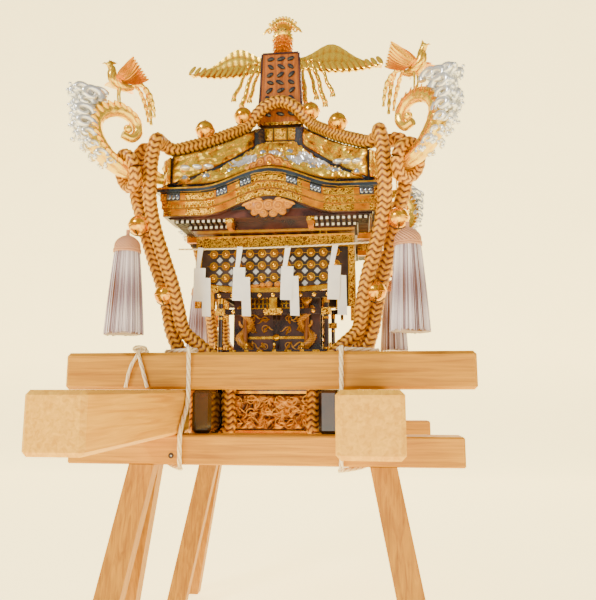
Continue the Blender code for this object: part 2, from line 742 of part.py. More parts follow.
def make_phoenix():
    """Large phoenix: body, neck, crested head, spread wings, legs and hanging feathers."""
    foot = BASIN_TOP + GAP
    y = PHOENIX_Y
    pieces = [tube("body", [(0, y + 0.050, 1.90), (0, y + 0.030, 1.93), (0, y, 1.96),
                            (0, y - 0.015, 1.995), (0, y - 0.020, 2.03), (0, y - 0.025, 2.07),
                            (0, y - 0.030, 2.10)],
                   0.038, GILT, radii=[0.5, 0.9, 1.0, 0.95, 0.72, 0.68, 0.60])]
    for hand in (-1, 1):
        pieces.append(phoenix_wing(hand))
        pieces.append(tube("leg", [(hand * 0.022, y, 1.95), (hand * 0.026, y - 0.005, 1.85),
                                   (hand * 0.026, y - 0.005, foot)], 0.009, GILT, resolution=1))
        for reach, length in ((0.105, 0.170), (0.150, 0.165)):
            pieces.append(tube("streamer", [(hand * (reach - 0.030), y + 0.006, 2.022),
                                            (hand * (reach - 0.012), y, 1.950),
                                            (hand * reach, y - 0.010, 2.030 - length)],
                               0.0075, GILT, resolution=1))
    for k in range(5):
        share = k / 2 - 1
        pieces.append(tube("plume", [(0.016 * share, y - 0.030, 2.080), (0.038 * share, y - 0.026, 2.130),
                                     (0.046 * share, y - 0.034, 2.170 + 0.018 * (1 - abs(share)))],
                           0.013, GILT, resolution=1, radii=[0.9, 1.0, 0.7]))
    fuse("phoenix", pieces, GILT, smooth=50)


def make_birds():
    """Small bird on each corner scroll, wings up, two long tail feathers behind."""
    pieces = [tube("body", [(-0.034, 0, 0.060), (-0.015, 0, 0.054), (0.010, 0, 0.058),
                            (0.026, 0, 0.076), (0.031, 0, 0.096), (0.044, 0, 0.099)],
                   0.013, GILT, resolution=1, radii=[0.4, 0.95, 1.0, 0.62, 0.60, 0.15])]
    for hand in (-1, 1):
        wing = wing_plate("wing", (hand * 0.004, 0.0, 0.058), 0.078, 0.040, 0.022, -0.010,
                          0.004, hand, GILT, stations=4)
        wing.data.transform(Matrix.Rotation(math.pi / 2, 4, "Z"))
        pieces.append(wing)
        pieces.append(tube("leg", [(0.002, hand * 0.006, 0.056), (0.0, hand * 0.006, 0.0)],
                           0.0035, GILT, resolution=1))
        pieces.append(tube("feather", [(-0.024, hand * 0.004, 0.058), (-0.055, hand * 0.012, 0.060),
                                       (-0.075, hand * 0.018, 0.036), (-0.084, hand * 0.022, 0.004)],
                           0.0045, GILT, resolution=1))
    bird = fuse("bird", pieces, GILT, smooth=50)
    outward = Matrix.Rotation(math.radians(225), 4, "Z")
    stand = corner(SCROLL_START + 0.102, 0.0, SCROLL_TOP + SCROLL_RADIUS * 0.80 + 0.004)
    bird.data.transform(Matrix.Translation(stand) @ outward)
    four_corners(bird, "small_bird")


def make_roof_top():
    low = ROOF_TOP_Z + GAP
    square_turned("dew_basin", [(BASIN_HALF, BASIN_TOP), (BASIN_HALF, BASIN_TOP - 0.010),
                                (BASIN_HALF - 0.010, BASIN_TOP - 0.016), (BASIN_HALF - 0.010, low + 0.012),
                                (BASIN_HALF, low + 0.006), (BASIN_HALF, low)], BLACK)
    foot = BASIN_TOP + GAP
    rings = []
    for half, share in ((BOARD_FOOT_HALF, 0.0), (BOARD_HEAD_HALF, 0.82), (BOARD_HEAD_HALF * 0.94, 1.0)):
        z = foot + NAME_BOARD_HEIGHT * share
        near = -NAME_BOARD_Y - NAME_BOARD_THICKNESS / 2 + 0.004
        far = near + NAME_BOARD_THICKNESS
        rings.append([Vector((-half, near, z)), Vector((half, near, z)),
                      Vector((half, far, z)), Vector((-half, far, z))])
    loft("name_board", rings, BOARD_WOOD)


def cord_half(hand, bells):
    """Route of the front cord on one side, from the top middle down and back up."""
    ridge = [corner(a, 0.0, cord_height(a)) for a in (0.115, 0.16, 0.21, 0.26, 0.305)]
    under = TRESTLE_TOP - CORD_RADIUS - 0.003
    inner_x = -(MAIN_POLE_INNER_X - CORD_RADIUS - 0.003)
    outer_x = -(MAIN_POLE_INNER_X + MAIN_POLE_WIDTH + CORD_RADIUS + 0.003)
    y = -(BASE_HALF + CROSS_POLE_FRONT_Y - CROSS_POLE_DEPTH) / 2
    route = [Vector((0.0, -0.108, 1.806)), Vector((-0.055, -0.112, 1.782))] + ridge
    route += [corner(ROOF_HALF + out, q, z) for out, q, z in
              ((-0.007, 0.012, 1.568), (0.015, 0.041, 1.560), (0.024, 0.041, 1.500),
               (0.026, 0.041, 1.440), (0.025, 0.038, 1.390), (0.017, 0.030, 1.340),
               (0.005, 0.029, 1.280), (-0.015, 0.030, 1.205), (-0.035, 0.030, 1.135),
               (-0.053, 0.026, 1.060))]
    route += [Vector((-0.262, -0.281, 0.995)), Vector((-0.215, -0.262, 0.950)),
              Vector((-0.165, y, 0.905)), Vector((inner_x, y, 0.855)), Vector((inner_x, y, 0.780)),
              Vector((inner_x + 0.003, y, 0.715)),
              Vector((inner_x - 0.022, y, under - 0.001)), Vector((outer_x + 0.022, y, under - 0.001)),
              Vector((outer_x - 0.003, y, 0.715)), Vector((outer_x, y, 0.780)),
              Vector((outer_x - 0.012, y, 0.860)), Vector((-0.278, y, 0.930))]
    route += [corner(ROOF_HALF + out, q, z) for out, q, z in
              ((-0.058, -0.024, 0.995), (-0.049, -0.028, 1.060), (-0.034, -0.030, 1.135),
               (-0.014, -0.030, 1.205), (0.006, -0.029, 1.280), (0.019, -0.030, 1.340),
               (0.028, -0.038, 1.390), (0.031, -0.041, 1.440), (0.029, -0.041, 1.500),
               (0.022, -0.040, 1.545), (0.007, -0.036, 1.558), (-0.014, -0.034, 1.556))]
    places = [corner(a, 0.0, cord_height(a) + CORD_RADIUS + BELL_RADIUS - 0.006) for a in bells]
    places.append(corner(ROOF_HALF + 0.034, 0.0, 1.300))
    places.append(corner(ROOF_HALF - 0.029, 0.004, 1.101))
    if hand > 0:
        route = [Vector((-point.x, point.y, point.z)) for point in route]
        places = [Vector((-point.x, point.y, point.z)) for point in places]
    return route, places


def make_cords():
    """Front cord from corner to corner over the top with its bells, and the rear one."""
    left, left_bells = cord_half(-1, (0.1225, 0.227))
    right, right_bells = cord_half(1, (0.1100, 0.2050))
    route = left[::-1] + right[1:]
    pieces = [tube("cord", route, CORD_RADIUS, CORD, resolution=1)]
    for place in left_bells + right_bells:
        bm = bmesh.new()
        bmesh.ops.create_uvsphere(bm, u_segments=8, v_segments=5, radius=BELL_RADIUS,
                                  matrix=Matrix.Translation(place))
        pieces.append(from_bmesh("bell", bm, GILT))
    cord = fuse("cord_front", pieces, CORD, smooth=60)
    copy_turned(cord, "cord_rear", 2)


def make_tassels():
    profile = [(0.006, 0.019), (0.006, 0.002), (0.020, -0.004), (0.033, -0.016),
               (TASSEL_TOP_RADIUS, -0.036), (TASSEL_TOP_RADIUS - 0.002, -0.040),
               (0.040, -0.100), (0.050, -0.200), (TASSEL_FOOT_RADIUS, -TASSEL_LENGTH + 0.008),
               (TASSEL_FOOT_RADIUS - 0.008, -TASSEL_LENGTH)]
    place = (-TASSEL_A, -TASSEL_A, TASSEL_TOP)
    four_corners(turned("tassel", profile, place, THREAD, 12), "tassel")


def make_straw_rope():
    """Thin rope across the front with four paper streamers, each of three long folds."""
    route = []
    for k in range(9):
        share = k / 4 - 1
        route.append((STRAW_HALF * share, -STRAW_Y, STRAW_Z + 0.004 * share - 0.005 * (1 - share ** 2)))
    pieces = [tube("rope", route, STRAW_RADIUS, ROPE, resolution=1)]
    for start in (-0.236, -0.111, 0.040, 0.186):
        for fold, (left, right, top, foot) in enumerate(((0.0, 0.018, -0.002, 0.072),
                                                         (-0.012, 0.026, 0.065, 0.170),
                                                         (0.014, 0.041, 0.096, 0.218))):
            y = -STRAW_Y + STREAMER_THICKNESS * 0.9 * (fold % 2)
            pieces.append(box("fold", (start + left, y - STREAMER_THICKNESS / 2, STRAW_Z - foot),
                              (start + right, y + STREAMER_THICKNESS / 2, STRAW_Z - top), PAPER))
    fuse("paper_streamers", pieces, PAPER)


clear_scene()
PARTS = collection("mikoshi")
PINE = material("pine", (0.80, 0.47, 0.24), 0.55)
LACQUER = material("black_lacquer", (0.02, 0.012, 0.012), 0.2)
BLACK = material("black_gilt", (0.03, 0.02, 0.02), 0.3)
GILT = material("gilt", (0.86, 0.55, 0.12), 0.28, 1.0)
SILVER = material("silver", (0.86, 0.87, 0.90), 0.25, 1.0)
BROWN = material("brown_lacquer", (0.12, 0.045, 0.035), 0.4)
CARVING = material("carved_wood", (0.60, 0.20, 0.06), 0.5)
BOARD_WOOD = material("board_wood", (0.55, 0.21, 0.07), 0.45)
CORD = material("braided_cord", (0.62, 0.27, 0.07), 0.7)
THREAD = material("tassel_thread", (0.72, 0.62, 0.68), 0.6)
ROPE = material("straw_rope", (0.88, 0.78, 0.58), 0.8)
PAPER = material("paper", (0.93, 0.93, 0.95), 0.7)

make_trestle("front", -1)
make_trestle("rear", 1)
make_poles()
make_lashings()
make_base()
make_fence()
make_torii()
make_chamber()
make_dragons()
make_rafters()
make_roof()
make_gable_boards()
make_pendants()
make_nets()
make_scrolls()
make_birds()
make_roof_top()
make_phoenix()
make_cords()
make_tassels()
make_straw_rope()
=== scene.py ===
"""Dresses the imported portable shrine: gilt relief, braided cords, tassels, birds and timber."""

import json
import math
import random

import bpy
import numpy as np
from mathutils import Matrix, Vector, noise

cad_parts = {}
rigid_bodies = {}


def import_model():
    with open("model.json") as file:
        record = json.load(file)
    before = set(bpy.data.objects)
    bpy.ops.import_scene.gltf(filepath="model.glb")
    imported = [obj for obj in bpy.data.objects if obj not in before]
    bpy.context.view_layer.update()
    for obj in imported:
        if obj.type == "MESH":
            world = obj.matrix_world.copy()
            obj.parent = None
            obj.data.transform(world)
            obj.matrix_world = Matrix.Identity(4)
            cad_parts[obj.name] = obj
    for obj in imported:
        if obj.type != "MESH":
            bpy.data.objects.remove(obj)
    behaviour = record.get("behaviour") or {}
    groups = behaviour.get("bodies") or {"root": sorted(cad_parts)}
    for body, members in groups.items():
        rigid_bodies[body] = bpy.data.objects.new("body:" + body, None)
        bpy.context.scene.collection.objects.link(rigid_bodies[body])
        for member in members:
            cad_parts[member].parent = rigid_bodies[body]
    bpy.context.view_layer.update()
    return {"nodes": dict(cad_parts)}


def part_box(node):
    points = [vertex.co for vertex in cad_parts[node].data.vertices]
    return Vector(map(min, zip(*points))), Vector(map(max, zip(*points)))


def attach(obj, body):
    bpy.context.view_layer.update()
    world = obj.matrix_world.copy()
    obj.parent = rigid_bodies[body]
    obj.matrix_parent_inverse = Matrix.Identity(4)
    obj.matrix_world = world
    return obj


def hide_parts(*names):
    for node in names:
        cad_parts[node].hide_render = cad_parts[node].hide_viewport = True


QUARTERS = range(4)
SIDES = ("front", "right", "rear", "left")
CORNERS = ("front_left", "front_right", "rear_right", "rear_left")
HANDS = (-1, 1)

# Heights and half widths that the pieces share with the solids
ROOF_BODY_HALF = 0.313
ROOF_HALF = ROOF_BODY_HALF + 0.032
ROOF_TOP_HALF = 0.086
EAVES_Z = 1.425
ROOF_TOP_Z = 1.665
RIM_THICKNESS = 0.013
GABLE_RISE = 0.055
GABLE_SHARE = 0.62
CORD_RADIUS = 0.019
BRAID_RADIUS = 0.0218
BELL_RADIUS = 0.031
FLOOR_Z = 0.85

RELIEF_SEED = 7


def clear_scene():
    for old in list(bpy.data.objects):
        bpy.data.objects.remove(old, do_unlink=True)


# Finishes

def finish_nodes(name):
    made = bpy.data.materials.new(name)
    made.use_nodes = True
    nodes = made.node_tree.nodes
    return made, nodes, made.node_tree.links, nodes["Principled BSDF"]


def stretched_noise(nodes, links, stretch, scale, detail=6.0, distortion=0.0):
    where = nodes.new("ShaderNodeTexCoord")
    mapping = nodes.new("ShaderNodeMapping")
    mapping.inputs["Scale"].default_value = stretch
    texture = nodes.new("ShaderNodeTexNoise")
    texture.inputs["Scale"].default_value = scale
    texture.inputs["Detail"].default_value = detail
    texture.inputs["Distortion"].default_value = distortion
    links.new(where.outputs["Object"], mapping.inputs["Vector"])
    links.new(mapping.outputs["Vector"], texture.inputs["Vector"])
    return texture


def ramp(nodes, links, source, *stops):
    made = nodes.new("ShaderNodeValToRGB")
    band = made.color_ramp
    while len(band.elements) < len(stops):
        band.elements.new(0.5)
    for element, (place, colour) in zip(band.elements, stops):
        element.position = place
        element.color = (*colour, 1.0)
    links.new(source, made.inputs["Fac"])
    return made


def set_bumps(nodes, links, shader, texture, strength, depth):
    bumps = nodes.new("ShaderNodeBump")
    bumps.inputs["Strength"].default_value = strength
    bumps.inputs["Distance"].default_value = depth
    links.new(texture.outputs["Fac"], bumps.inputs["Height"])
    links.new(bumps.outputs["Normal"], shader.inputs["Normal"])


def finish(name, dark, light, rough=0.4, metal=0.0, scale=40.0, stretch=(1, 1, 1), bump=0.2,
           depth=0.001, spread=(0.35, 0.65), distortion=0.0, wear=0.12, coat=0.0):
    """Mottled finish: colour, roughness and fine bumps from one stretched noise."""
    made, nodes, links, shader = finish_nodes(name)
    texture = stretched_noise(nodes, links, stretch, scale, distortion=distortion)
    tone = ramp(nodes, links, texture.outputs["Fac"], (spread[0], dark), (spread[1], light))
    links.new(tone.outputs["Color"], shader.inputs["Base Color"])
    reach = nodes.new("ShaderNodeMapRange")
    reach.inputs["To Min"].default_value = max(rough - wear, 0.03)
    reach.inputs["To Max"].default_value = min(rough + wear, 1.0)
    links.new(texture.outputs["Fac"], reach.inputs["Value"])
    links.new(reach.outputs["Result"], shader.inputs["Roughness"])
    set_bumps(nodes, links, shader, texture, bump, depth)
    shader.inputs["Metallic"].default_value = metal
    shader.inputs["Coat Weight"].default_value = coat
    return made


def relief_finish(name, deep, middle, high, rough, metal, scale=220.0, bump=0.25):
    """Finish in its own middle colour, with painted shade in the hollows and a painted highlight on the
    heights of the mesh.
    """
    made, nodes, links, shader = finish_nodes(name)
    height = nodes.new("ShaderNodeAttribute")
    height.attribute_name = "relief"
    texture = stretched_noise(nodes, links, (1, 1, 1), scale)
    mix = nodes.new("ShaderNodeMath")
    mix.operation = "MULTIPLY_ADD"
    mix.inputs[1].default_value = 0.16
    links.new(texture.outputs["Fac"], mix.inputs[0])
    links.new(height.outputs["Fac"], mix.inputs[2])
    # The relief height picks the colour: the deep tone is painted shade, the high tone a painted highlight.
    tone = ramp(nodes, links, mix.outputs["Value"], (0.12, deep), (0.45, middle), (0.85, high))
    links.new(tone.outputs["Color"], shader.inputs["Base Color"])
    set_bumps(nodes, links, shader, texture, bump, 0.0006)
    shader.inputs["Roughness"].default_value = rough
    shader.inputs["Metallic"].default_value = metal
    return made


def timber(name, stretch, dark=(0.42, 0.165, 0.003), light=(0.72, 0.345, 0.008), rough=0.5):
    return finish(name, dark, light, rough, 0.0, 9.0, stretch, 0.35, 0.0012, (0.3, 0.72), 0.8, 0.08)


clear_scene()
noise.seed_set(RELIEF_SEED)
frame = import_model()
NODES = frame["nodes"]

PINE_X = timber("pine_along_x", (0.5, 12, 12))
# Same pine with painted light: its lighter colours stand for sunlight falling on the side poles.
PINE_Y_PAINTED_LIGHT = timber("pine_along_y_painted_light", (12, 0.5, 12), (0.70, 0.32, 0.014), (0.96, 0.54, 0.048))
# Same pine with painted shade: its darker colours stand for the legs in shadow.
PINE_UPRIGHT_PAINTED_SHADE = timber("pine_upright_painted_shade", (12, 12, 0.6), (0.32, 0.118, 0.001), (0.58, 0.270, 0.006))
LACQUER = finish("black_lacquer_sheen", (0.012, 0.006, 0.004), (0.05, 0.018, 0.008), 0.16, 0.0, 14.0,
                 coat=0.6, bump=0.05)
# Black lacquer: its near-black is the lacquer's own colour, the blue tint is a painted reflection of the
# sky.
BLACK_LACQUER_PAINTED_BLUE_SHEEN = finish("black_lacquer_painted_blue_sheen", (0.004, 0.006, 0.012), (0.03, 0.045, 0.075), 0.14, 0.0, 10.0,
              coat=0.8, bump=0.05)
BROWN = finish("brown_lacquer_sheen", (0.022, 0.006, 0.006), (0.10, 0.028, 0.020), 0.3, 0.0, 18.0,
               coat=0.3, bump=0.1)
GOLD = finish("gilt_plate", (0.80, 0.30, 0.003), (1.0, 0.58, 0.030), 0.22, 0.85, 55.0, bump=0.3,
              depth=0.0008)
GOLD_RELIEF = relief_finish("gilt_relief", (0.07, 0.016, 0.001), (0.84, 0.36, 0.006), (1.0, 0.68, 0.07),
                            0.26, 0.78)
ENGRAVED = finish("gilt_engraved", (0.22, 0.05, 0.001), (1.0, 0.56, 0.045), 0.28, 1.0, 170.0, bump=0.9,
                  depth=0.0015, spread=(0.42, 0.56), distortion=1.5)
ORANGE = finish("orange_gilt_band", (0.50, 0.13, 0.0005), (0.80, 0.29, 0.002), 0.3, 0.6, 30.0, bump=0.2)
SILVER = relief_finish("silver_relief", (0.16, 0.17, 0.22), (0.72, 0.74, 0.82), (0.97, 0.98, 1.0), 0.24, 0.7)
STEEL = relief_finish("dark_silver", (0.03, 0.035, 0.05), (0.20, 0.23, 0.30), (0.62, 0.68, 0.78), 0.24, 0.9)
CARVED = relief_finish("carved_wood_relief", (0.022, 0.005, 0.0003), (0.34, 0.100, 0.001),
                       (0.74, 0.31, 0.008), 0.42, 0.0, 120.0)
COPPER = relief_finish("copper_relief", (0.012, 0.003, 0.001), (0.17, 0.050, 0.005), (0.66, 0.29, 0.035),
                       0.30, 0.6, 150.0)
BOARD = timber("name_board_wood", (10, 10, 0.9), (0.20, 0.048, 0.003), (0.46, 0.135, 0.010), 0.35)
BLACK = finish("black_raised_strokes", (0.004, 0.005, 0.010), (0.02, 0.022, 0.035), 0.3, 0.0, 60.0, bump=0.1)
BRAID = relief_finish("braid_thread", (0.010, 0.002, 0.0001), (0.22, 0.060, 0.001), (0.78, 0.37, 0.012),
                      0.42, 0.2, 420.0, 0.6)
# Tassel threads: the brown deep tone is the dark strands' own colour, the lavender middle tone is painted
# shade on the white threads, the white top tone their lit colour.
THREAD = relief_finish("tassel_threads", (0.16, 0.050, 0.008), (0.36, 0.27, 0.36), (0.92, 0.86, 0.96), 0.34,
                       0.0, 300.0, 0.3)
KNIT = relief_finish("knitted_cap", (0.11, 0.032, 0.012), (0.42, 0.17, 0.08), (0.76, 0.42, 0.26), 0.65, 0.0,
                     400.0, 0.5)
STRAW = relief_finish("hemp_rope", (0.30, 0.15, 0.04), (0.80, 0.60, 0.32), (0.98, 0.88, 0.66), 0.8, 0.0,
                      500.0, 0.6)
PAPER = finish("white_paper", (0.90, 0.91, 0.96), (1.0, 1.0, 1.0), 0.65, 0.0, 25.0, bump=0.15)
DARK = finish("shadowed_wood", (0.010, 0.004, 0.003), (0.05, 0.018, 0.010), 0.45, 0.0, 22.0, bump=0.2)


# Mesh building

def along(path):
    """Tangent and two side directions at each point of a path, carried along without twist."""
    path = np.asarray(path, float)
    tangents = np.gradient(path, axis=0)
    tangents /= np.linalg.norm(tangents, axis=1)[:, None] + 1e-12
    start = np.array([0.0, 0.0, 1.0]) if abs(tangents[0][2]) < 0.9 else np.array([1.0, 0.0, 0.0])
    sides = []
    for tangent in tangents:
        side = start - tangent * np.dot(start, tangent)
        side /= np.linalg.norm(side) + 1e-12
        sides.append(side)
        start = side
    sides = np.array(sides)
    return path, sides, np.cross(tangents, sides)


def smooth_path(points, spacing):
    """Evenly spaced points on the smooth curve through the given ones."""
    points = np.asarray(points, float)
    padded = np.vstack([2 * points[0] - points[1], points, 2 * points[-1] - points[-2]])
    dense = []
    for index in range(1, len(padded) - 2):
        p0, p1, p2, p3 = padded[index - 1:index + 3]
        t = np.linspace(0, 1, 16, endpoint=False)[:, None]
        dense.append(0.5 * (2 * p1 + (p2 - p0) * t + (2 * p0 - 5 * p1 + 4 * p2 - p3) * t ** 2
                            + (3 * p1 - p0 - 3 * p2 + p3) * t ** 3))
    dense = np.vstack(dense + [points[-1:]])
    gone = gone_along(dense)
    wanted = np.linspace(0, gone[-1], max(4, int(gone[-1] / spacing)))
    return np.stack([np.interp(wanted, gone, dense[:, axis]) for axis in range(3)], -1)


def span(middle, down, up=None):
    """The two ends of a stretch round a middle value."""
    return (middle - down, middle + (down if up is None else up))


def around(steps):
    return np.linspace(0, 2 * math.pi, steps, endpoint=False)


def gone_along(path):
    """Length gone at each point of a path."""
    return np.concatenate([[0], np.cumsum(np.linalg.norm(np.diff(path, axis=0), axis=1))])


class Pile:
    """Shapes gathered into one mesh, each with a finish number and a height for the finishes."""

    def __init__(self):
        self.points, self.faces, self.kinds, self.relief = [], [], [], []
        self.count = 0

    def grid(self, points, kind=0, wrap=False, cap=False, relief=0.6):
        points = np.asarray(points, float)
        rows, cols = points.shape[:2]
        index = np.arange(rows * cols).reshape(rows, cols) + self.count
        self.points.append(points.reshape(-1, 3))
        relief = np.asarray(relief, float)
        if relief.shape == (rows,):
            relief = relief[:, None]
        self.relief.append(np.broadcast_to(relief, (rows, cols)).reshape(-1))
        self.count += rows * cols
        if cap:
            self.face(index[0][::-1].tolist(), kind)
            self.face(index[-1].tolist(), kind)
        if wrap:
            index = np.hstack([index, index[:, :1]])
        quads = np.stack([index[:-1, :-1], index[:-1, 1:], index[1:, 1:], index[1:, :-1]], -1)
        quads = quads.reshape(-1, 4).tolist()
        self.faces.extend(quads)
        self.kinds.extend([kind] * len(quads))

    def face(self, corners, kind):
        self.faces.append(corners)
        self.kinds.append(kind)

    def sweep(self, path, size, angle, kind=0, relief=0.6):
        """Closed skin round a path, size being its radius at each point and angle."""
        middle, first, second = along(path)
        size = np.asarray(size, float)
        if size.ndim == 1:
            size = size[:, None]
        size = np.broadcast_to(size, (len(middle), len(angle)))[..., None]
        rings = middle[:, None] + size * (np.cos(angle)[:, None] * first[:, None]
                                          + np.sin(angle)[:, None] * second[:, None])
        self.grid(rings, kind, True, True, relief)

    def tube(self, path, radius, kind=0, sides=8, relief=0.6):
        self.sweep(path, radius, around(sides), kind, relief)

    def ball(self, centre, radius, kind=0, rings=8, steps=12, relief=0.6):
        latitude = np.linspace(-math.pi / 2 + 0.05, math.pi / 2 - 0.05, rings)[:, None]
        turn = around(steps)[None]
        radius = np.broadcast_to(np.asarray(radius, float), (3,))
        points = np.stack([np.cos(latitude) * np.cos(turn) * radius[0],
                           np.cos(latitude) * np.sin(turn) * radius[1],
                           np.sin(latitude) * np.ones_like(turn) * radius[2]], -1)
        self.grid(points + np.asarray(centre, float), kind, wrap=True, cap=True, relief=relief)

    def turned(self, profile, centre, kind=0, steps=16, relief=0.6):
        profile = np.asarray(profile, float)
        turn = around(steps)
        points = np.stack([np.outer(profile[:, 0], np.cos(turn)), np.outer(profile[:, 0], np.sin(turn)),
                           np.repeat(profile[:, 1:], steps, 1)], -1)
        self.grid(points + np.asarray(centre, float), kind, wrap=True, cap=True, relief=relief)

    def stud(self, centre, radius, steps=10):
        self.ball(centre, (radius, 0.002, radius), 0, 4, steps, 1.0)

    def box(self, xs, ys, zs, kind=0):
        (x0, x1), (y0, y1), (z0, z1) = sorted(xs), sorted(ys), sorted(zs)
        ring = [(x0, y0), (x1, y0), (x1, y1), (x0, y1)]
        self.grid([[(x, y, z) for x, y in ring] for z in (z0, z1)], kind, True, True)

    def add(self, other, matrix):
        turn = np.array(matrix.to_4x4())
        for points in other.points:
            self.points.append(points @ turn[:3, :3].T + turn[:3, 3])
        self.relief.extend(other.relief)
        self.faces.extend([[corner + self.count for corner in face] for face in other.faces])
        self.kinds.extend(other.kinds)
        self.count += other.count

    def on_sides(self, turns=QUARTERS):
        made = Pile()
        for turn in turns:
            made.add(self, Matrix.Rotation(math.pi / 2 * turn, 4, "Z"))
        return made

    def piece(self, name, slot, finishes, smooth=40.0, instead=()):
        mesh = bpy.data.meshes.new(name)
        mesh.from_pydata(np.vstack(self.points).tolist(), [], self.faces)
        mesh.polygons.foreach_set("material_index", np.array(self.kinds, np.int32))
        heights = mesh.attributes.new("relief", "FLOAT", "POINT")
        heights.data.foreach_set("value", np.concatenate(self.relief).astype(np.float32))
        for one in finishes:
            mesh.materials.append(one)
        mesh.update()
        mesh.shade_smooth()
        mesh.set_sharp_from_angle(angle=math.radians(smooth))
        made = bpy.data.objects.new(name, mesh)
        bpy.context.scene.collection.objects.link(made)
        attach(made, "root")
        if instead:
            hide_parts(*instead)
        return made


def corner(a, q, z):
    """Front left corner point: a out along both axes, q sideways towards the front, z up."""
    shift = q * math.sqrt(0.5)
    return (-a + shift, -a - shift, z)


def gable_rise(x, half):
    share = np.clip(np.abs(np.asarray(x, float)) / half / GABLE_SHARE, 0, 1)
    return GABLE_RISE * np.cos(math.pi / 2 * share) ** 2


def roof_height(half):
    climb = (ROOF_HALF - half) / (ROOF_HALF - ROOF_TOP_HALF)
    return EAVES_Z + (ROOF_TOP_Z - EAVES_Z) * (0.72 * climb + 0.28 * climb ** 2)


def scroll(pile, x, y, z, size, hand, kind=0, turns=1.35, thick=0.16, stem=1.2, relief=0.8, lean=0.0):
    """Raised tendril on a front face: a stem that runs into a spiral."""
    t = np.linspace(0, 1, 18)
    angle = lean + turns * 2 * math.pi * t
    radius = size * (1 - 0.86 * t)
    path = np.stack([x + hand * radius * np.cos(angle), np.full(18, y), z + radius * np.sin(angle)], -1)
    pile.tube(path, size * thick * (1 - 0.55 * t), kind, 6, relief)
    pile.ball((x, y, z), size * 0.24, kind, 4, 6, 1.0)
    if stem:
        start = path[0]
        leaf = np.stack([np.linspace(start[0], start[0] + hand * size * stem, 6), np.full(6, y),
                         start[2] - size * 0.7 * np.sin(np.linspace(0, math.pi * 0.6, 6))], -1)
        pile.tube(leaf, size * thick * np.linspace(1.0, 0.3, 6) * 1.3, kind, 6, relief)


def blade(pile, base, tip, width, droop=0.0, kind=0, thickness=0.0016, side=None):
    """Feather or leaf from base to tip, ribbed down its middle."""
    base, tip = Vector(base), Vector(tip)
    run = tip - base
    side = Vector(side) if side is not None else run.cross(Vector((0, 1, 0)))
    if side.length < 1e-6:
        side = Vector((1, 0, 0))
    side.normalize()
    face = run.cross(side).normalized()
    rows, heights = [], []
    for k in range(7):
        share = k / 6
        middle = base + run * share + Vector((0, 0, -droop * share * share))
        half = width / 2 * (math.sin(math.pi * (0.12 + 0.84 * share)) ** 0.7 + 0.05)
        row = [middle - side * half, middle + face * thickness * 1.5, middle + side * half,
               middle - face * thickness]
        rows.append([tuple(point) for point in row])
        heights.append([0.35, 0.95, 0.35, 0.35])
    pile.grid(rows, kind, wrap=True, cap=True, relief=heights)


def relief_height(across, up, seed):
    """Foliage-like height: warped ridged noise, in two sizes."""
    where = Vector((across * 17 + seed * 3.1, up * 17, seed * 1.7))
    warp = noise.noise_vector(where * 0.9) * 0.75
    wide = 1 - abs(noise.noise(where * 1.25 + warp)) * 2.4
    fine = 1 - abs(noise.noise(where * 3.1 + warp * 1.6)) * 2.6
    return max(0.0, wide) * 0.62 + max(0.0, fine) * 0.38


def relief_sheet(pile, place, across, up, columns, rows, raised, seed, kind=0, low=0.0):
    """Carved sheet: place(s, t, out) gives the point, s and t run from 0 to 1, out is the height."""
    points, heights = [], []
    for row in range(rows):
        t = row / (rows - 1)
        points.append([])
        heights.append([])
        for column in range(columns):
            s = column / (columns - 1)
            edge = min(1.0, s * 14, (1 - s) * 14, t * 14, (1 - t) * 14)
            height = min(relief_height(s * across, t * up, seed) * 1.15 + 0.10, 1.0) * edge
            points[-1].append(place(s, t, low + raised * height ** 1.2))
            heights[-1].append(min(height * 1.15, 1.0))
    pile.grid(points, kind, relief=heights)


# Timber

def paint(finish_made, *names):
    for name in names:
        NODES[name].material_slots[0].material = finish_made


def timbers():
    paint(PINE_X, "trestle_beam_front", "trestle_beam_rear", "cross_pole_front", "cross_pole_rear")
    # The side poles take the pine copy with painted light.
    paint(PINE_Y_PAINTED_LIGHT, *(f"side_pole_{name}" for name in CORNERS))
    # The legs take the pine copy with painted shade.
    paint(PINE_UPRIGHT_PAINTED_SHADE, *(f"trestle_legs_{name}" for name in CORNERS))
    paint(LACQUER, "main_pole_left", "main_pole_right")
    pile = Pile()
    beam_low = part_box("trestle_beam_front")[0]
    z, radius = beam_low.z + 0.024, 0.0075
    for x in (-0.240, 0.240):
        pile.tube([(x, beam_low.y - 0.0012, z), (x, beam_low.y + 0.004, z)], radius, 0, 16)
        pile.ball((x, beam_low.y - 0.0012, z), (radius * 0.42, 0.002, radius * 0.42), 1, 4, 8)
    pile.on_sides((0, 2)).piece("trestle_bolts", "black_lacquer", [DARK, STEEL])


# Base, fence, torii and chamber

def foliage_panel(pile, xs, zs, y, seed, size, rows=2, kind=2):
    """Rows of tendrils, leaves and buds that fill a panel facing the front."""
    draw = random.Random(seed)
    width, height = xs[1] - xs[0], zs[1] - zs[0]
    columns = max(2, round(width / (size * 2.5)))
    for row in range(rows):
        for column in range(columns):
            hand = 1 if (row + column) % 2 else -1
            x = xs[0] + width * (column + 0.5) / columns
            z = zs[0] + height * (row + 0.5) / rows + hand * size * 0.12
            scroll(pile, x, y, z, size * draw.uniform(0.75, 1.0), hand, kind, lean=draw.uniform(-0.6, 0.9))
            for _ in range(3):
                angle = draw.uniform(0, 2 * math.pi)
                reach = size * draw.uniform(0.9, 1.25)
                tip_x = min(max(x + reach * math.cos(angle), xs[0]), xs[1])
                tip_z = min(max(z + reach * math.sin(angle), zs[0]), zs[1])
                blade(pile, (x, y, z), (tip_x, y - 0.0015, tip_z), size * 0.5, kind=kind)


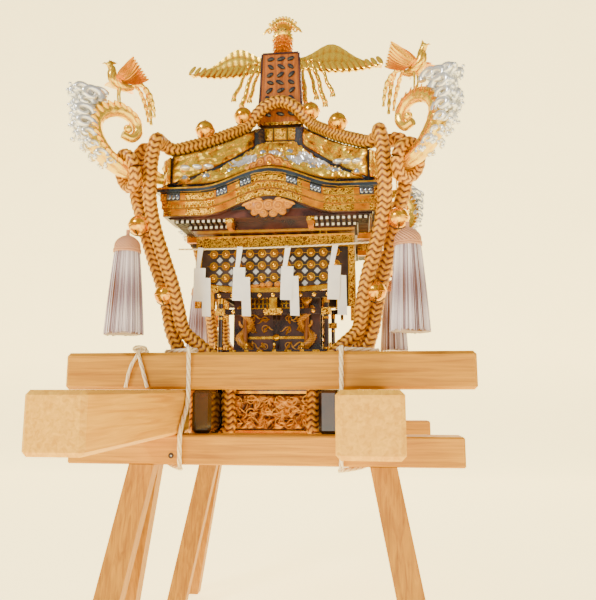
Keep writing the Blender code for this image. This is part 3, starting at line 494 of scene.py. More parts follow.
def base_dress():
    """Bands, corner plates and studs on the base, and a carved panel in each side."""
    paint(LACQUER, "base")
    low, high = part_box("base")
    half, foot, head = high.x, low.z, high.z
    panel, recess = 0.142, -half + 0.012
    pile = Pile()
    for z, height in ((head - 0.0225, 0.022), (foot + 0.001, 0.014)):
        pile.box(span(0, half - 0.001), span(-half, 0.0012, 0.002), (z, z + height), 1)
    for z in (foot + 0.026, head - 0.042):
        pile.box(span(0, panel), span(recess, 0.004, 0.001), (z, z + 0.008))
    for x in (-panel, panel - 0.006):
        pile.box((x, x + 0.006), span(recess, 0.0045, 0.001), (foot + 0.026, head - 0.034))
    pile.box(span(0, panel - 0.006), span(recess, 0.0012, 0.001), (foot + 0.034, head - 0.042), 3)
    panel_low, panel_high = foot + 0.035, head - 0.043
    relief_sheet(pile, lambda s, t, out: (-0.135 + 0.270 * s, recess - 0.0012 - out,
                                          panel_low + (panel_high - panel_low) * t),
                 0.40, 0.16, 110, 46, 0.0085, 11, 2)
    foliage_panel(pile, (-0.126, 0.126), (foot + 0.040, head - 0.048), recess - 0.0075, 5, 0.0175, 3)
    for x in (-half + 0.002, half - 0.032):
        for zs in ((foot + 0.0005, foot + 0.016), (head - 0.0222, head - 0.0005)):
            pile.box((x, x + 0.030), span(-half, 0.002), zs)
    for x in np.linspace(-half + 0.045, half - 0.045, 13):
        pile.stud((x, -half - 0.0012, head - 0.011), 0.006, 8)
    pile.on_sides().piece("base_fittings", "gilt", [GOLD, ENGRAVED, COPPER, DARK])


def fence_dress():
    """Rails, capped posts, bars and engraved plates of the fence round the base."""
    low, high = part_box("fence_front")
    y, half, foot, head = (low.y + high.y) / 2, high.x, low.z, high.z
    pile = Pile()
    for depth, start, end, kind in ((0.005, foot, foot + 0.026, 1), (0.0062, foot + 0.026, foot + 0.030, 0),
                                    (0.005, head - 0.033, head - 0.022, 1),
                                    (0.004, foot + 0.056, foot + 0.062, 0)):
        pile.box(span(0, half), span(y, depth), (start, end), kind)
    posts = np.linspace(-half + 0.0075, half - 0.0075, 5)
    gap = posts[1] - posts[0]
    for x in posts:
        pile.box(span(x, 0.0055), span(y, 0.0058), (foot, head - 0.018), 1)
        for z in (foot + 0.002, foot + 0.050, head - 0.034):
            pile.box(span(x, 0.0062), span(y, 0.0064), (z, z + 0.012))
        cap = ((0.002, 0.0), (0.0048, 0.004), (0.0052, 0.010), (0.003, 0.014), (0.0056, 0.018),
               (0.0056, 0.021))
        pile.turned([(radius, head - down) for radius, down in cap], (x, y, 0), 0, 10)
        if x == posts[-1]:
            continue
        for share in (0.25, 0.5, 0.75):
            pile.box(span(x + gap * share, 0.0012), span(y, 0.002), (foot + 0.03, foot + 0.056))
        pile.box((x + gap * 0.25, x + gap * 0.75), (y - 0.0068, y - 0.004), (foot + 0.006, foot + 0.022), 2)
        pile.box((x + gap * 0.38, x + gap * 0.62), (y - 0.0066, y - 0.004), (head - 0.032, head - 0.023), 2)
    pile.on_sides().piece("fence_posts_and_rails", "gilt", [GOLD, LACQUER, ENGRAVED],
                          instead=[f"fence_{side}" for side in SIDES])


def torii_dress():
    """Gates: banded posts, tie beam with its plates, strut, lintel and upswept cap with carving."""
    low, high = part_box("torii_front")
    y, half, foot = (low.y + high.y) / 2, high.x, low.z
    top, post_x = FLOOR_Z + 0.287, 0.165
    plate = (foot + 0.198, foot + 0.219)
    pile = Pile()
    for x in (-post_x, post_x):
        pile.turned([(0.0075, top - 0.02), (0.0075, foot)], (x, y, 0), 1, 16)
        for z, height in ((foot, 0.022), (foot + 0.092, 0.006), (foot + 0.185, 0.006), (top - 0.052, 0.016)):
            pile.turned([(0.0086, z + height), (0.0086, z)], (x, y, 0), 0, 16)
        pile.box(span(x, 0.015), span(y, 0.0075), plate, 2)
    pile.box(span(0, post_x + 0.012), span(y, 0.005), (foot + 0.200, foot + 0.217), 1)
    for x in np.linspace(-0.125, 0.125, 6):
        pile.stud((x, y - 0.005, foot + 0.2085), 0.0062)
    pile.box(span(0, 0.026), span(y, 0.0066, 0.0064), plate, 2)
    pile.box(span(0, 0.012), span(y, 0.005), (foot + 0.215, top - 0.034))
    pile.box(span(0, half - 0.016), span(y, 0.007), (top - 0.036, top - 0.018), 1)
    for x in np.linspace(-half + 0.03, half - 0.03, 9):
        pile.stud((x, y - 0.007, top - 0.027), 0.0068)
    section = ((-0.0095, -0.018), (0.0095, -0.018), (0.0095, -0.004), (0.004, 0.0), (-0.004, 0.0),
               (-0.0095, -0.004))
    pile.grid([[(x, y + out, top + 0.012 * abs(x / half) ** 3 + up) for out, up in section]
               for x in np.linspace(-half, half, 25)], 0, True, True)
    for hand in HANDS:
        pile.box((hand * (half - 0.026), hand * half), span(y, 0.0102), (top - 0.016, top + 0.0035), 2)
    for hand in HANDS:
        for x, up, size in ((0.014, 0.008, 0.010), (0.034, 0.006, 0.008), (0.052, 0.004, 0.006)):
            pile.ball((hand * x, y, top + up), (size * 1.2, 0.006, size), 3, 6, 12, 0.5)
            scroll(pile, hand * x, y - 0.006, top + up, size * 0.75, hand, 3)
        blade(pile, (hand * 0.050, y - 0.004, top + 0.002), (hand * 0.074, y - 0.004, top + 0.004), 0.009,
              kind=3)
    pile.on_sides((0, 2)).piece("torii_gates", "gilt", [GOLD, LACQUER, ENGRAVED, CARVED],
                                instead=["torii_front", "torii_rear"])


def chamber_dress():
    """Door frames, rails, lattice and scrollwork on the four sides of the chamber."""
    paint(BROWN, "chamber")
    low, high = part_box("chamber")
    y, foot = -0.140, low.z
    pile = Pile()
    for hand in HANDS:
        for x in (0.104, 0.003):
            pile.box((hand * x, hand * (x + 0.008)), span(y, 0.0046, 0.001),
                     (foot + 0.022, high.z - 0.030), 1)
        door = sorted((hand * 0.011, hand * 0.104))
        for z in (0.036, 0.130, 0.215, 0.300):
            pile.box(door, (y - 0.0036, y), (foot + z, foot + z + 0.008))
        for k in range(7):
            x = door[0] + (door[1] - door[0]) * (k + 0.5) / 7
            pile.box(span(x, 0.0018), (y - 0.003, y), (foot + 0.22, foot + 0.30))
        for row in range(5):
            z = foot + 0.228 + 0.015 * row
            pile.box(door, (y - 0.0026, y), (z, z + 0.003))
        inside = (door[0] + 0.006, door[1] - 0.006)
        foliage_panel(pile, inside, (foot + 0.050, foot + 0.125), y - 0.001, 9 + hand, 0.016)
        foliage_panel(pile, inside, (foot + 0.143, foot + 0.210), y - 0.001, 12 + hand, 0.015)
    pile.ball((0, y - 0.005, foot + 0.135), (0.012, 0.004, 0.012), 0, 6, 12, 1.0)
    pile.on_sides().piece("chamber_doors", "gilt", [GOLD, LACQUER, COPPER])


def dragons():
    """Two dragons wound up their posts, scaled body, clawed legs and horned head at the top."""
    pile = Pile()
    posts = ("dragon_post_left", "dragon_post_right")
    points = 150
    for name, hand in zip(posts, HANDS):
        low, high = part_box(name)
        cx, cy = (low.x + high.x) / 2, (low.y + high.y) / 2
        height = high.z - low.z
        pile.turned([(0.008, high.z - 0.006), (0.008, low.z + 0.010), (0.012, low.z + 0.008),
                     (0.012, low.z)], (cx, cy, 0), 0, 12, 0.3)
        t = np.linspace(0, 1, points)
        turn = hand * (2.3 * 2 * math.pi * t) - math.pi / 2
        reach = 0.0150 - 0.001 * t
        path = np.stack([cx + reach * 1.25 * np.cos(turn), cy + reach * 0.62 * np.sin(turn),
                         low.z + 0.012 + (height - 0.045) * t], -1)
        thick = 0.0100 * (0.45 + 0.55 * np.sin(math.pi * np.clip(t * 0.9 + 0.08, 0, 1)) ** 0.6)
        angle = around(12)
        row = np.arange(points)[:, None]
        scale = 0.5 + 0.5 * np.cos(angle[None] * 6 + np.where(row % 4 < 2, 0, math.pi))
        pile.sweep(path, thick[:, None] * (1 + 0.16 * scale), angle, 0, 0.25 + 0.7 * scale)
        for k in range(10, points - 4, 5):
            out = np.array([path[k][0] - cx, path[k][1] - cy, 0])
            out /= np.linalg.norm(out)
            out *= thick[k]
            blade(pile, path[k] + out * 0.7, path[k] + out * 1.55 + [0, 0, 0.003], 0.005)
        head = np.array([cx, cy - 0.006, high.z - 0.020])
        pile.ball(head, (0.010, 0.011, 0.009), 0, 8, 12, 0.7)
        pile.ball(head + [0, -0.009, -0.003], (0.0062, 0.008, 0.005), 0, 6, 10, 0.9)
        pile.ball(head + [0, -0.007, -0.010], (0.005, 0.007, 0.003), 0, 5, 8, 0.5)
        for side in HANDS:
            pile.ball(head + [side * 0.005, -0.008, 0.004], 0.0024, 1, 5, 8, 1.0)
            rise = np.linspace(0, 1, 5)
            horn = head + np.stack([side * (0.004 + 0.005 * rise), 0.008 * rise, 0.006 + 0.011 * rise], -1)
            pile.tube(horn, 0.002 - 0.0014 * rise, 0, 5, 1.0)
            for k in range(3):
                blade(pile, head + [side * 0.006, 0.002, 0.002 * k],
                      head + [side * (0.013 + 0.002 * k), 0.004, -0.002 + 0.006 * k], 0.006)
            for share in (0.28, 0.66):
                knee = np.array([cx + side * 0.016, cy - 0.008, low.z + height * share])
                pile.tube([(cx + side * 0.008, cy - 0.004, knee[2] - 0.008), knee,
                           knee + [side * 0.001, -0.006, 0.010]], [0.0045, 0.0038, 0.0022], 0, 6, 0.7)
    pile.piece("dragon_carvings", "carved_wood", [CARVED, GOLD], instead=posts)


# Eaves

def rafters():
    """Two rows of white rafter ends, the brackets under them and the two net brackets."""
    paint(BROWN, "eaves_rafters")
    gap, size = 0.0165, 0.0046
    pile = Pile()
    for reach, z in ((0.2990, 1.3305), (0.2640, 1.3205)):
        count = int(2 * (reach - 0.006) / gap)
        for index in range(count + 1):
            x = gap * (index - count / 2)
            if abs(x) >= 0.140:
                pile.box(span(x, size), span(-reach, 0, 0.044), span(z, size), 2)
                pile.box(span(x, size * 0.85), span(-reach, 0.0014, 0.0010), span(z, size * 0.85))
    for reach, z in ((0.150, 1.268), (0.180, 1.300)):
        for x in np.linspace(-reach * 0.88, reach * 0.88, 9):
            pile.box(span(x, 0.009), span(-reach, 0.010, 0.004), (z - 0.006, z + 0.002), 1)
            pile.box(span(x, 0.005), span(-reach, 0.014, 0.004), (z + 0.002, z + 0.010), 3)
    for hand in HANDS:
        pile.box((hand * 0.112, hand * 0.136), (-0.3055, -0.262), (1.3225, 1.338), 1)
        pile.box((hand * 0.116, hand * 0.132), (-0.3065, -0.262), (1.3065, 1.3225), 3)
    pile.on_sides().piece("rafter_ends", "gilt", [PAPER, ENGRAVED, DARK, ORANGE])


def gable_boards():
    """Layers of the eaves board: engraved gold, plain orange stretches, dentils and dark fittings."""
    paint(BROWN, *(f"gable_board_{side}" for side in SIDES))
    top = EAVES_Z - RIM_THICKNESS - 0.0012
    outer, teeth = 0.333, 58
    pile = Pile()

    def band(xs, depth, z_high, z_low, kind, proud, relief=0.6):
        x_low, x_high = sorted(xs)
        rows = []
        for x in np.linspace(x_low, x_high, max(3, int(abs(x_high - x_low) / 0.009))):
            up = top + float(gable_rise(x, outer))
            rows.append([(x, -depth - proud, up - z_high), (x, -depth - proud, up - z_low),
                         (x, -depth + 0.001, up - z_low), (x, -depth + 0.001, up - z_high)])
        pile.grid(rows, kind, True, True, relief)

    zones = ((0.0, 0.100, 1), (0.100, 0.165, 2), (0.165, 0.255, 1), (0.255, 0.300, 2), (0.300, 0.332, 1))
    steps = ((outer, 0.001, 0.0225), (outer - 0.004, 0.0235, 0.0455), (outer - 0.008, 0.0465, 0.0690))
    for index, (depth, z_high, z_low) in enumerate(steps):
        for start, end, kind in zones:
            end = min(end, depth - 0.001)
            for hand in HANDS:
                band((hand * start, hand * end), depth, z_high + 0.0022, z_low - 0.0022, kind, 0.0008)
        band(span(0, depth - 0.001), depth, z_high, z_high + 0.0020, 0, 0.0020)
        band(span(0, depth - 0.001), depth, z_low - 0.0020, z_low, 0, 0.0016)
        for tooth in range(teeth if index == 1 else 0):
            x = (depth - 0.010) * (2 * (tooth + 0.5) / teeth - 1)
            if not 0.1 < abs(x) < 0.165:
                foot = top - z_low + 0.002 + float(gable_rise(x, outer))
                pile.box(span(x, 0.0030), span(-depth, 0.0022, 0.002), (foot, foot + 0.008))
    for centre in (-0.292, -0.142, -0.070, 0.070, 0.142, 0.292):
        width = 0.042 if abs(centre) > 0.2 else 0.034
        band(span(centre, width / 2), outer, 0.000, 0.0235, 3, 0.0032, 0.22)
        for k in (-1, 0, 1):
            x = centre + k * width * 0.31
            pile.ball((x, -outer - 0.0036, top - 0.0112 + float(gable_rise(x, outer))),
                      (width * 0.15, 0.0014, 0.0085), 3, 6, 10, 0.50)
    pile.on_sides().piece("gable_board_strips", "gilt", [GOLD, ENGRAVED, ORANGE, STEEL])


def rim_and_crest():
    """Rim of the eaves and the lobed crest at the middle of each gable."""
    pile = Pile()
    half = ROOF_HALF
    rows = []
    for x in np.linspace(-half, half, 91):
        up = EAVES_Z + float(gable_rise(x, half))
        rows.append([(x, -half - 0.0010, up - 0.0035), (x, -half - 0.0010, up + 0.0006),
                     (x, -half + 0.004, up + 0.0028), (x, -half + 0.004, up - 0.0035)])
    pile.grid(rows, 0, True, True)
    crest_z = EAVES_Z + GABLE_RISE
    y = -0.318
    lobes = [(0.0, 0.031, 0.022), (-0.026, 0.024, 0.018), (0.026, 0.024, 0.018), (-0.050, 0.014, 0.015),
             (0.050, 0.014, 0.015)]
    for x, up, size in lobes:
        pile.ball((x, y, crest_z + up), (size, 0.007, size), 2, 8, 14, 0.35)
        scroll(pile, x, y - 0.007, crest_z + up, size * 0.62, -1 if x < 0 else 1, 2)
    for hand in HANDS:
        blade(pile, (hand * 0.050, y, crest_z + 0.010), (hand * 0.078, y, crest_z + 0.004), 0.018, kind=2)
    pile.ball((0, y - 0.009, crest_z + 0.018), (0.008, 0.004, 0.008), 0, 6, 12, 1.0)
    pile.on_sides().piece("roof_rim_and_crests", "gilt", [GOLD, STEEL, CARVED])


def pendants():
    """Cloud-shaped carving under each gable, lobes and scrolls standing off a shaped board."""
    paint(CARVED, *(f"gable_pendant_{side}" for side in SIDES))
    top = EAVES_Z - RIM_THICKNESS - 0.070 + GABLE_RISE
    y = -0.3315
    pile = Pile()
    lobes = [(0.0, 0.030, 0.022)]
    for x, down, size in ((0.030, 0.034, 0.027), (0.058, 0.030, 0.015), (0.014, 0.056, 0.014),
                          (0.042, 0.052, 0.012)):
        lobes += [(-x, down, size), (x, down, size)]
    for x, down, size in lobes:
        pile.ball((x, y + 0.004, top - down), (size, 0.0060, size * 0.86), 0, 8, 16, 0.48)
        scroll(pile, x, y - 0.0010, top - down, size * 0.66, -1 if x < 0 else 1, 0, 1.6, 0.13, 0.0,
               0.85, 0.6)
    for hand in HANDS:
        for k in range(4):
            x, z = hand * (0.020 + 0.014 * k), top - 0.014 - 0.003 * k
            blade(pile, (x, y, z), (x + hand * 0.018, y, z + 0.004 - 0.004 * k), 0.010)
    pile.on_sides().piece("pendant_carvings", "carved_wood", [CARVED, GOLD])


# Roof relief

def roof_relief():
    """Gilt foliage in relief on each roof slope and ridge, silver patches and bosses among it."""
    # The roof body takes the black lacquer with its painted blue sheen.
    paint(BLACK_LACQUER_PAINTED_BLUE_SHEEN, "roof")
    low_half, high_half, margin = 0.330, 0.094, 0.036
    columns, rows = 150, 70
    patches = ((-0.085, 0.50, 0.050), (0.095, 0.50, 0.056), (0.0, 0.66, 0.024), (0.215, 0.26, 0.040),
               (-0.230, 0.24, 0.030), (0.150, 0.44, 0.030))
    bosses = ((-0.268, 0.12), (-0.200, 0.15), (-0.128, 0.24), (0.128, 0.26), (0.200, 0.17), (0.268, 0.13),
              (-0.045, 0.70), (0.045, 0.70))

    def slope_x(s, share):
        return (2 * s - 1) * (low_half + (high_half - low_half) * share - margin)

    def slope_point(x, share, out):
        half = low_half + (high_half - low_half) * share
        wave = ((half - ROOF_TOP_HALF) / (ROOF_HALF - ROOF_TOP_HALF)) ** 1.5
        return (x, -half - out * 0.62, roof_height(half) + wave * float(gable_rise(x, half)) + out * 0.72)

    def silvered(x, share):
        for place_x, place, radius in patches:
            dx, up = x - place_x, share - place
            if dx ** 2 + (up * 0.34) ** 2 < (radius * (1 + 0.35 * math.sin(9 * math.atan2(up, dx)))) ** 2:
                return 1
        return 0

    def ridge_point(a, q, hand, t):
        low = roof_height(min(a, 0.317)) - 0.004
        high = cord_height(min(a, 0.317)) - CORD_RADIUS - 0.0085
        x, y, z = corner(a, q, low + (high - low) * t)
        return (-hand * x, y, z)

    for turn, side in enumerate(SIDES):
        pile = Pile()
        relief_sheet(pile, lambda s, t, out: slope_point(slope_x(s, t), t, out), 0.62, 0.36, columns, rows,
                     0.0175, turn, low=0.0030)
        pile.kinds = [silvered(slope_x((column + 0.5) / (columns - 1), share), share)
                      for share in (np.arange(rows - 1) + 0.5) / (rows - 1) for column in range(columns - 1)]
        for hand in HANDS:
            relief_sheet(pile, lambda s, t, out: ridge_point(0.100 + 0.216 * s, 0.0242 + out, hand, t),
                         0.32, 0.10, 84, 22, 0.0075, turn + 5 * hand, low=0.0012)
            relief_sheet(pile, lambda s, t, out: ridge_point(0.3176 + out, 0.0242 * s, hand, t),
                         0.03, 0.10, 12, 20, 0.006, turn + 3 * hand, low=0.0010)
            for k in range(3):
                x, y, z = corner(0.290 - 0.030 * k, 0.030, 1.500 + 0.012 * k)
                pile.ball((-hand * x, y, z), (0.020, 0.013, 0.009), 1, 8, 12, 0.9)
        for x, share in bosses:
            centre = np.array(slope_point(x, share, 0.012))
            pile.ball(centre, (0.0140, 0.0085, 0.0140), 2, 10, 20, 0.85)
            pile.tube([centre + [0, 0.006, -0.006], centre + [0, -0.0035, 0.002]], 0.0168, 0, 20, 0.5)
            for angle in around(8):
                bead = centre + [0.0172 * math.cos(angle), -0.002, 0.0164 * math.sin(angle)]
                pile.ball(bead, 0.0030, 0, 4, 6, 1.0)
        pile.on_sides((turn,)).piece(f"roof_relief_{side}", "gilt", [GOLD_RELIEF, SILVER, STEEL], 60)


def basin_dress():
    """Bands and engraved panels on the dew basin."""
    paint(LACQUER, "dew_basin")
    low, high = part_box("dew_basin")
    half = high.x
    face = -half + 0.0095
    pile = Pile()
    for z, height in ((low.z + 0.0005, 0.006), (high.z - 0.0105, 0.010)):
        pile.box(span(0, half - 0.0005), span(-half, 0.0014, 0.002), (z, z + height), 1)
    for x_low, x_high in ((-0.064, -0.026), (-0.022, 0.022), (0.026, 0.064)):
        pile.box((x_low, x_high), span(face, 0.0022, 0.001), (low.z + 0.016, high.z - 0.020))
        pile.box((x_low + 0.004, x_high - 0.004), span(face, 0.0034, 0), (low.z + 0.020, high.z - 0.024), 1)
    pile.on_sides().piece("basin_panels", "gilt", [GOLD, ENGRAVED])


def name_board():
    """Board with rows of raised slanting strokes that make no letters, and a dark moulding."""
    paint(BOARD, "name_board")
    low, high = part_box("name_board")
    y, height = low.y, high.z - low.z
    pile = Pile()

    def half_width(z):
        return high.x - 0.013 * min((z - low.z) / (height * 0.82), 1.0)

    for hand in HANDS:
        rows = []
        for z in (low.z, (low.z + high.z) / 2, high.z - 0.004):
            inner, outer = (hand * (half_width(z) + shift) for shift in (-0.004, 0.003))
            rows.append([(inner, y - 0.003, z), (outer, y - 0.003, z), (outer, high.y, z),
                         (inner, high.y, z)])
        pile.grid(rows, 2, True, True)
    pile.box(span(0, 0.064), (y - 0.0032, high.y + 0.001), (high.z - 0.006, high.z), 2)
    draw = random.Random(3)
    for row in range(8):
        z = low.z + 0.030 + 0.0296 * row
        reach = half_width(z) - 0.016
        for column in (-1, 0, 1):
            x = reach * column * 0.70 + draw.uniform(-0.003, 0.003)
            length = draw.uniform(0.0115, 0.0150)
            tilt = draw.uniform(0.25, 0.75) * (1 if row % 2 else -1)
            run = np.array([length * math.cos(tilt), 0, length * math.sin(tilt)])
            centre = np.array([x, y - 0.0008, z])
            pile.tube([centre + run * k for k in (-1, -0.5, 0, 0.5, 1)],
                      [0.0040, 0.0068, 0.0078, 0.0066, 0.0030])
    pile.piece("name_board_strokes", "board_wood", [BLACK, GOLD, BROWN])


# Nets

def nets():
    """Net frame of each side: engraved bar, gold discs in rows, silver diamonds between, buckle hooks."""
    paint(DARK, *(f"net_frame_{side}" for side in SIDES))
    pitch, y = 0.0389, -0.203
    for turn, side in enumerate(SIDES):
        facing = turn % 2 == 0
        low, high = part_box("net_frame_front" if facing else "net_frame_right")
        half = high.x if facing else high.y
        bar_low, net_low = high.z - 0.041, 1.130
        pile = Pile()
        pile.box(span(0, half), span(y, 0.0015, 0.0075), (bar_low, high.z), 1)
        for zs in ((high.z - 0.004, high.z + 0.001), (bar_low, bar_low + 0.004)):
            pile.box(span(0, half + 0.001), span(y, 0.0030, 0.0080), zs)
        for hand in HANDS:
            xs = (hand * half, hand * (half - 0.018))
            pile.box(xs, span(y, 0.0015, 0.0072), (low.z, bar_low), 1)
            for x in xs:
                pile.box(span(x, 0.0012), span(y, 0.0026, 0.0076), (low.z, bar_low))
        columns = 2 * int((half - 0.034) / pitch) + 1
        for row in range(3):
            z = bar_low - 0.0165 - pitch * row
            for column in range(columns):
                x = (column - (columns - 1) / 2) * pitch
                for face, out in ((y, -1), (y + 0.0062, 1)):
                    pile.tube([(x, face - 0.0012, z), (x, face + 0.0014, z)], 0.0134, 0, 16, 0.9)
                    pile.tube([(x, face + out * 0.0010, z), (x, face + out * 0.0018, z)], 0.0106, 4, 14, 0.5)
                    pile.ball((x, face + out * 0.0014, z), (0.0062, 0.0016, 0.0062), 0, 4, 8, 1.0)
                cx, cz, size = x + pitch / 2, z - pitch / 2, 0.0100
                if column < columns - 1 and cz - size > net_low - 0.004:
                    outline = [(cx - size, cz), (cx, cz - size), (cx + size, cz), (cx, cz + size)]
                    rings = [[(px, y + out, pz) for px, pz in outline] for out in (0.0, -0.0016)]
                    pile.grid(rings, 2, True, True, 0.8)
                for link in HANDS:
                    pile.box(span(x + link * 0.0162, 0.0034), span(y, 0.0008, 0.0006), span(z, 0.0008))
        if facing:
            foot, top = high.z - 0.004, high.z + 0.026
            for hook in (-0.156, 0.156):
                left, right = span(hook, 0.0095)
                pile.tube([(left, y, foot), (left, y, top), (right, y, top), (right, y, foot)], 0.0019, 0, 6,
                          0.9)
                pile.box(span(hook, 0.0035), span(y, 0.002), (top - 0.002, top + 0.012))
        pile.on_sides((turn,)).piece(f"net_discs_{side}", "gilt", [GOLD, ENGRAVED, SILVER, DARK, COPPER])


# Cords, bells and tassels

def bell(pile, centre, radius=BELL_RADIUS):
    """Round bell: two halves with a rim between, two crossed mouth slots and a small shank."""
    pile.ball(centre, radius, 1, 14, 24, 0.85)
    x, y, z = centre
    ring = [(radius * 1.055, 0.0022), (radius * 1.055, -0.0022), (radius * 0.98, -0.0034),
            (radius * 0.98, 0.0034)]
    pile.grid([[(x + r * math.cos(a), y + r * math.sin(a), z + h) for r, h in ring]
               for a in np.linspace(0, 2 * math.pi, 25)], 1, True, relief=1.0)
    reach = radius * 1.004
    for across, along_y in ((1, 0), (0, -1)):
        slot = [(x + across * reach * math.sin(a), y + along_y * reach * math.sin(a),
                 z - reach * math.cos(a)) for a in np.linspace(-0.9, 0.9, 12)]
        pile.tube(slot, 0.0022, 2, 6, 0.0)
    pile.turned([(0.004, radius + 0.004), (0.006, radius - 0.001)], centre, 1, 10)


def cord_height(a):
    return 1.847 - 1.28 * a + 1.13 * a * a


def cord_half(hand, bells):
    """Route of the front cord on one side, from the top middle down and back up."""
    under = 0.70 - CORD_RADIUS - 0.003
    inner_x, outer_x = -0.150 + CORD_RADIUS + 0.003, -0.205 - CORD_RADIUS - 0.003
    y = -0.256
    down = ((0.338, 0.012, 1.568), (0.360, 0.041, 1.560), (0.369, 0.041, 1.500), (0.371, 0.041, 1.440),
            (0.370, 0.038, 1.390), (0.362, 0.030, 1.340), (0.350, 0.029, 1.280), (0.330, 0.030, 1.205),
            (0.310, 0.030, 1.135), (0.292, 0.026, 1.060))
    back_up = ((0.287, -0.024, 0.995), (0.296, -0.028, 1.060), (0.311, -0.030, 1.135),
               (0.331, -0.030, 1.205), (0.351, -0.029, 1.280), (0.364, -0.030, 1.340),
               (0.373, -0.038, 1.390), (0.376, -0.041, 1.440), (0.374, -0.041, 1.500),
               (0.367, -0.040, 1.545), (0.352, -0.036, 1.558), (0.331, -0.034, 1.556))
    below = ((-0.165, 0.905), (inner_x, 0.855), (inner_x, 0.780), (inner_x + 0.003, 0.715),
             (inner_x - 0.022, under - 0.001), (outer_x + 0.022, under - 0.001), (outer_x - 0.003, 0.715),
             (outer_x, 0.780), (outer_x - 0.012, 0.860), (-0.278, 0.930))
    route = [(0.0, -0.108, 1.806), (-0.055, -0.112, 1.782)]
    route += [corner(a, 0.0, cord_height(a)) for a in (0.115, 0.16, 0.21, 0.26, 0.305)]
    route += [corner(*place) for place in down] + [(-0.262, -0.281, 0.995), (-0.215, -0.262, 0.950)]
    route += [(x, y, z) for x, z in below] + [corner(*place) for place in back_up]
    places = [corner(a, 0.0, cord_height(a) + CORD_RADIUS + BELL_RADIUS - 0.006) for a in bells]
    places += [corner(0.379, 0.0, 1.300), corner(0.316, 0.004, 1.101)]
    return [[(-hand * x, y, z) for x, y, z in points] for points in (route, places)]


def braid(pile, route, radius=BRAID_RADIUS, columns=8, lay=0.0175):
    """Thick plaited cord: columns of slanting strands, leaning left and right by turns."""
    path = smooth_path(route, 0.0034)
    sides = columns * 4
    share = (np.arange(sides) + 0.5) / sides * columns
    column = np.floor(share).astype(int)
    across = share - column
    lean = np.where(column % 2 == 0, 1.0, -1.0)
    phase = gone_along(path)[:, None] / lay + (lean * (across - 0.5))[None] * 0.62
    height = np.abs(np.sin(math.pi * phase)) ** 0.8 * (np.sin(math.pi * (across * 0.80 + 0.10)) ** 0.6)[None]
    pile.sweep(path, radius * (0.78 + 0.24 * height), around(sides), 0, height)


def cords():
    """Front and rear cord with their bells, and a turn of cord round the arm of each scroll."""
    left, left_bells = cord_half(-1, (0.1225, 0.227))
    right, right_bells = cord_half(1, (0.1100, 0.2050))
    front = Pile()
    braid(front, left[::-1] + right[1:])
    for hand in HANDS:
        loop = [corner(0.4085 + 0.010 * math.sin(a), 0.046 * math.cos(a), 1.458 + 0.046 * math.sin(a))
                for a in np.linspace(0, 2 * math.pi, 14)]
        braid(front, [(-hand * x, y, z) for x, y, z in loop], 0.0185)
    for place in left_bells + right_bells:
        bell(front, place)
    for turn, side in ((0, "front"), (2, "rear")):
        front.on_sides((turn,)).piece(f"braided_cord_{side}", "braided_cord", [BRAID, GOLD, DARK], 60,
                                      [f"cord_{side}"])


def tassels():
    """Hanging tassels: knitted cap, corded neck and a skirt of fine threads."""
    draw = random.Random(8)
    low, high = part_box("tassel_front_left")
    top, neck = high.z, high.z - 0.057
    centre = ((low.x + high.x) / 2, (low.y + high.y) / 2, 0)
    steps = 160
    turns = around(steps)
    groove = np.where(np.arange(steps) % 2 == 0, 1.0, 0.955)
    for turn, name in enumerate(CORNERS):
        pile = Pile()
        strand = np.array([draw.uniform(0.0, 1.0) for _ in range(steps)])
        short = np.array([draw.uniform(0.0, 0.010) for _ in range(steps)])
        points, heights = [], []
        for share in np.linspace(0, 1, 16):
            radius = (0.0345 + 0.0215 * share ** 0.8) * groove * (1 - 0.02 * strand * share)
            angle = turns + 0.03 * share * np.sin(turns * 5 + 3 * strand)
            z = neck - (neck - low.z) * share + short * share
            points.append(np.stack([radius * np.cos(angle), radius * np.sin(angle), z], -1))
            # Brown streaks are dark strands of their own colour; the 0.22 taken off in the grooves between
            # strands is painted shade.
            streak = np.where(strand > 0.84, 0.02, 0.38 + 0.55 * strand)
            heights.append(np.clip(streak - 0.22 * (groove < 1) + 0.12 * math.sin(share * 9), 0, 1))
        pile.grid(points, 0, True, True, heights)
        points, heights = [], []
        for row, share in enumerate(np.linspace(0, 1, 14)):
            knit = 0.5 + 0.5 * np.cos(turns[::2] * 20 + math.pi * (row % 2))
            radius = 0.0065 + 0.0300 * math.sin(min(share * 1.25, 1.0) * math.pi / 2) ** 0.9
            wide = radius * (1 + 0.035 * knit)
            z = np.full(steps // 2, top - 0.017 - 0.044 * share ** 1.3)
            points.append(np.stack([wide * np.cos(turns[::2]), wide * np.sin(turns[::2]), z], -1))
            heights.append(knit)
        pile.grid(points, 1, True, True, heights)
        for z in (top - 0.060, top - 0.066):
            ring = [(0.0372 * math.cos(a), 0.0372 * math.sin(a), z) for a in np.linspace(0, 2 * math.pi, 40)]
            pile.tube(ring, 0.0030, 1, 6, 0.6)
        pile.tube([(0, 0, top - 0.022), (0, 0, top)], 0.0055, 1, 10, 0.5)
        placed = Pile()
        placed.add(pile, Matrix.Translation(centre))
        placed.on_sides((turn,)).piece(f"tassel_threads_{name}", "tassel_thread", [THREAD, KNIT], 25,
                                       [f"tassel_{name}"])


def twisted_rope(pile, route, radius, kind=0, strands=3, lay=0.03, spacing=0.003):
    """Laid rope: round strands that wind about each other."""
    path = smooth_path(route, spacing)
    angle = around(12)
    twist = np.abs(np.cos((angle[None] * strands + gone_along(path)[:, None] / lay * 2 * math.pi) / 2))
    pile.sweep(path, radius * (0.78 + 0.26 * twist), angle, kind, twist)


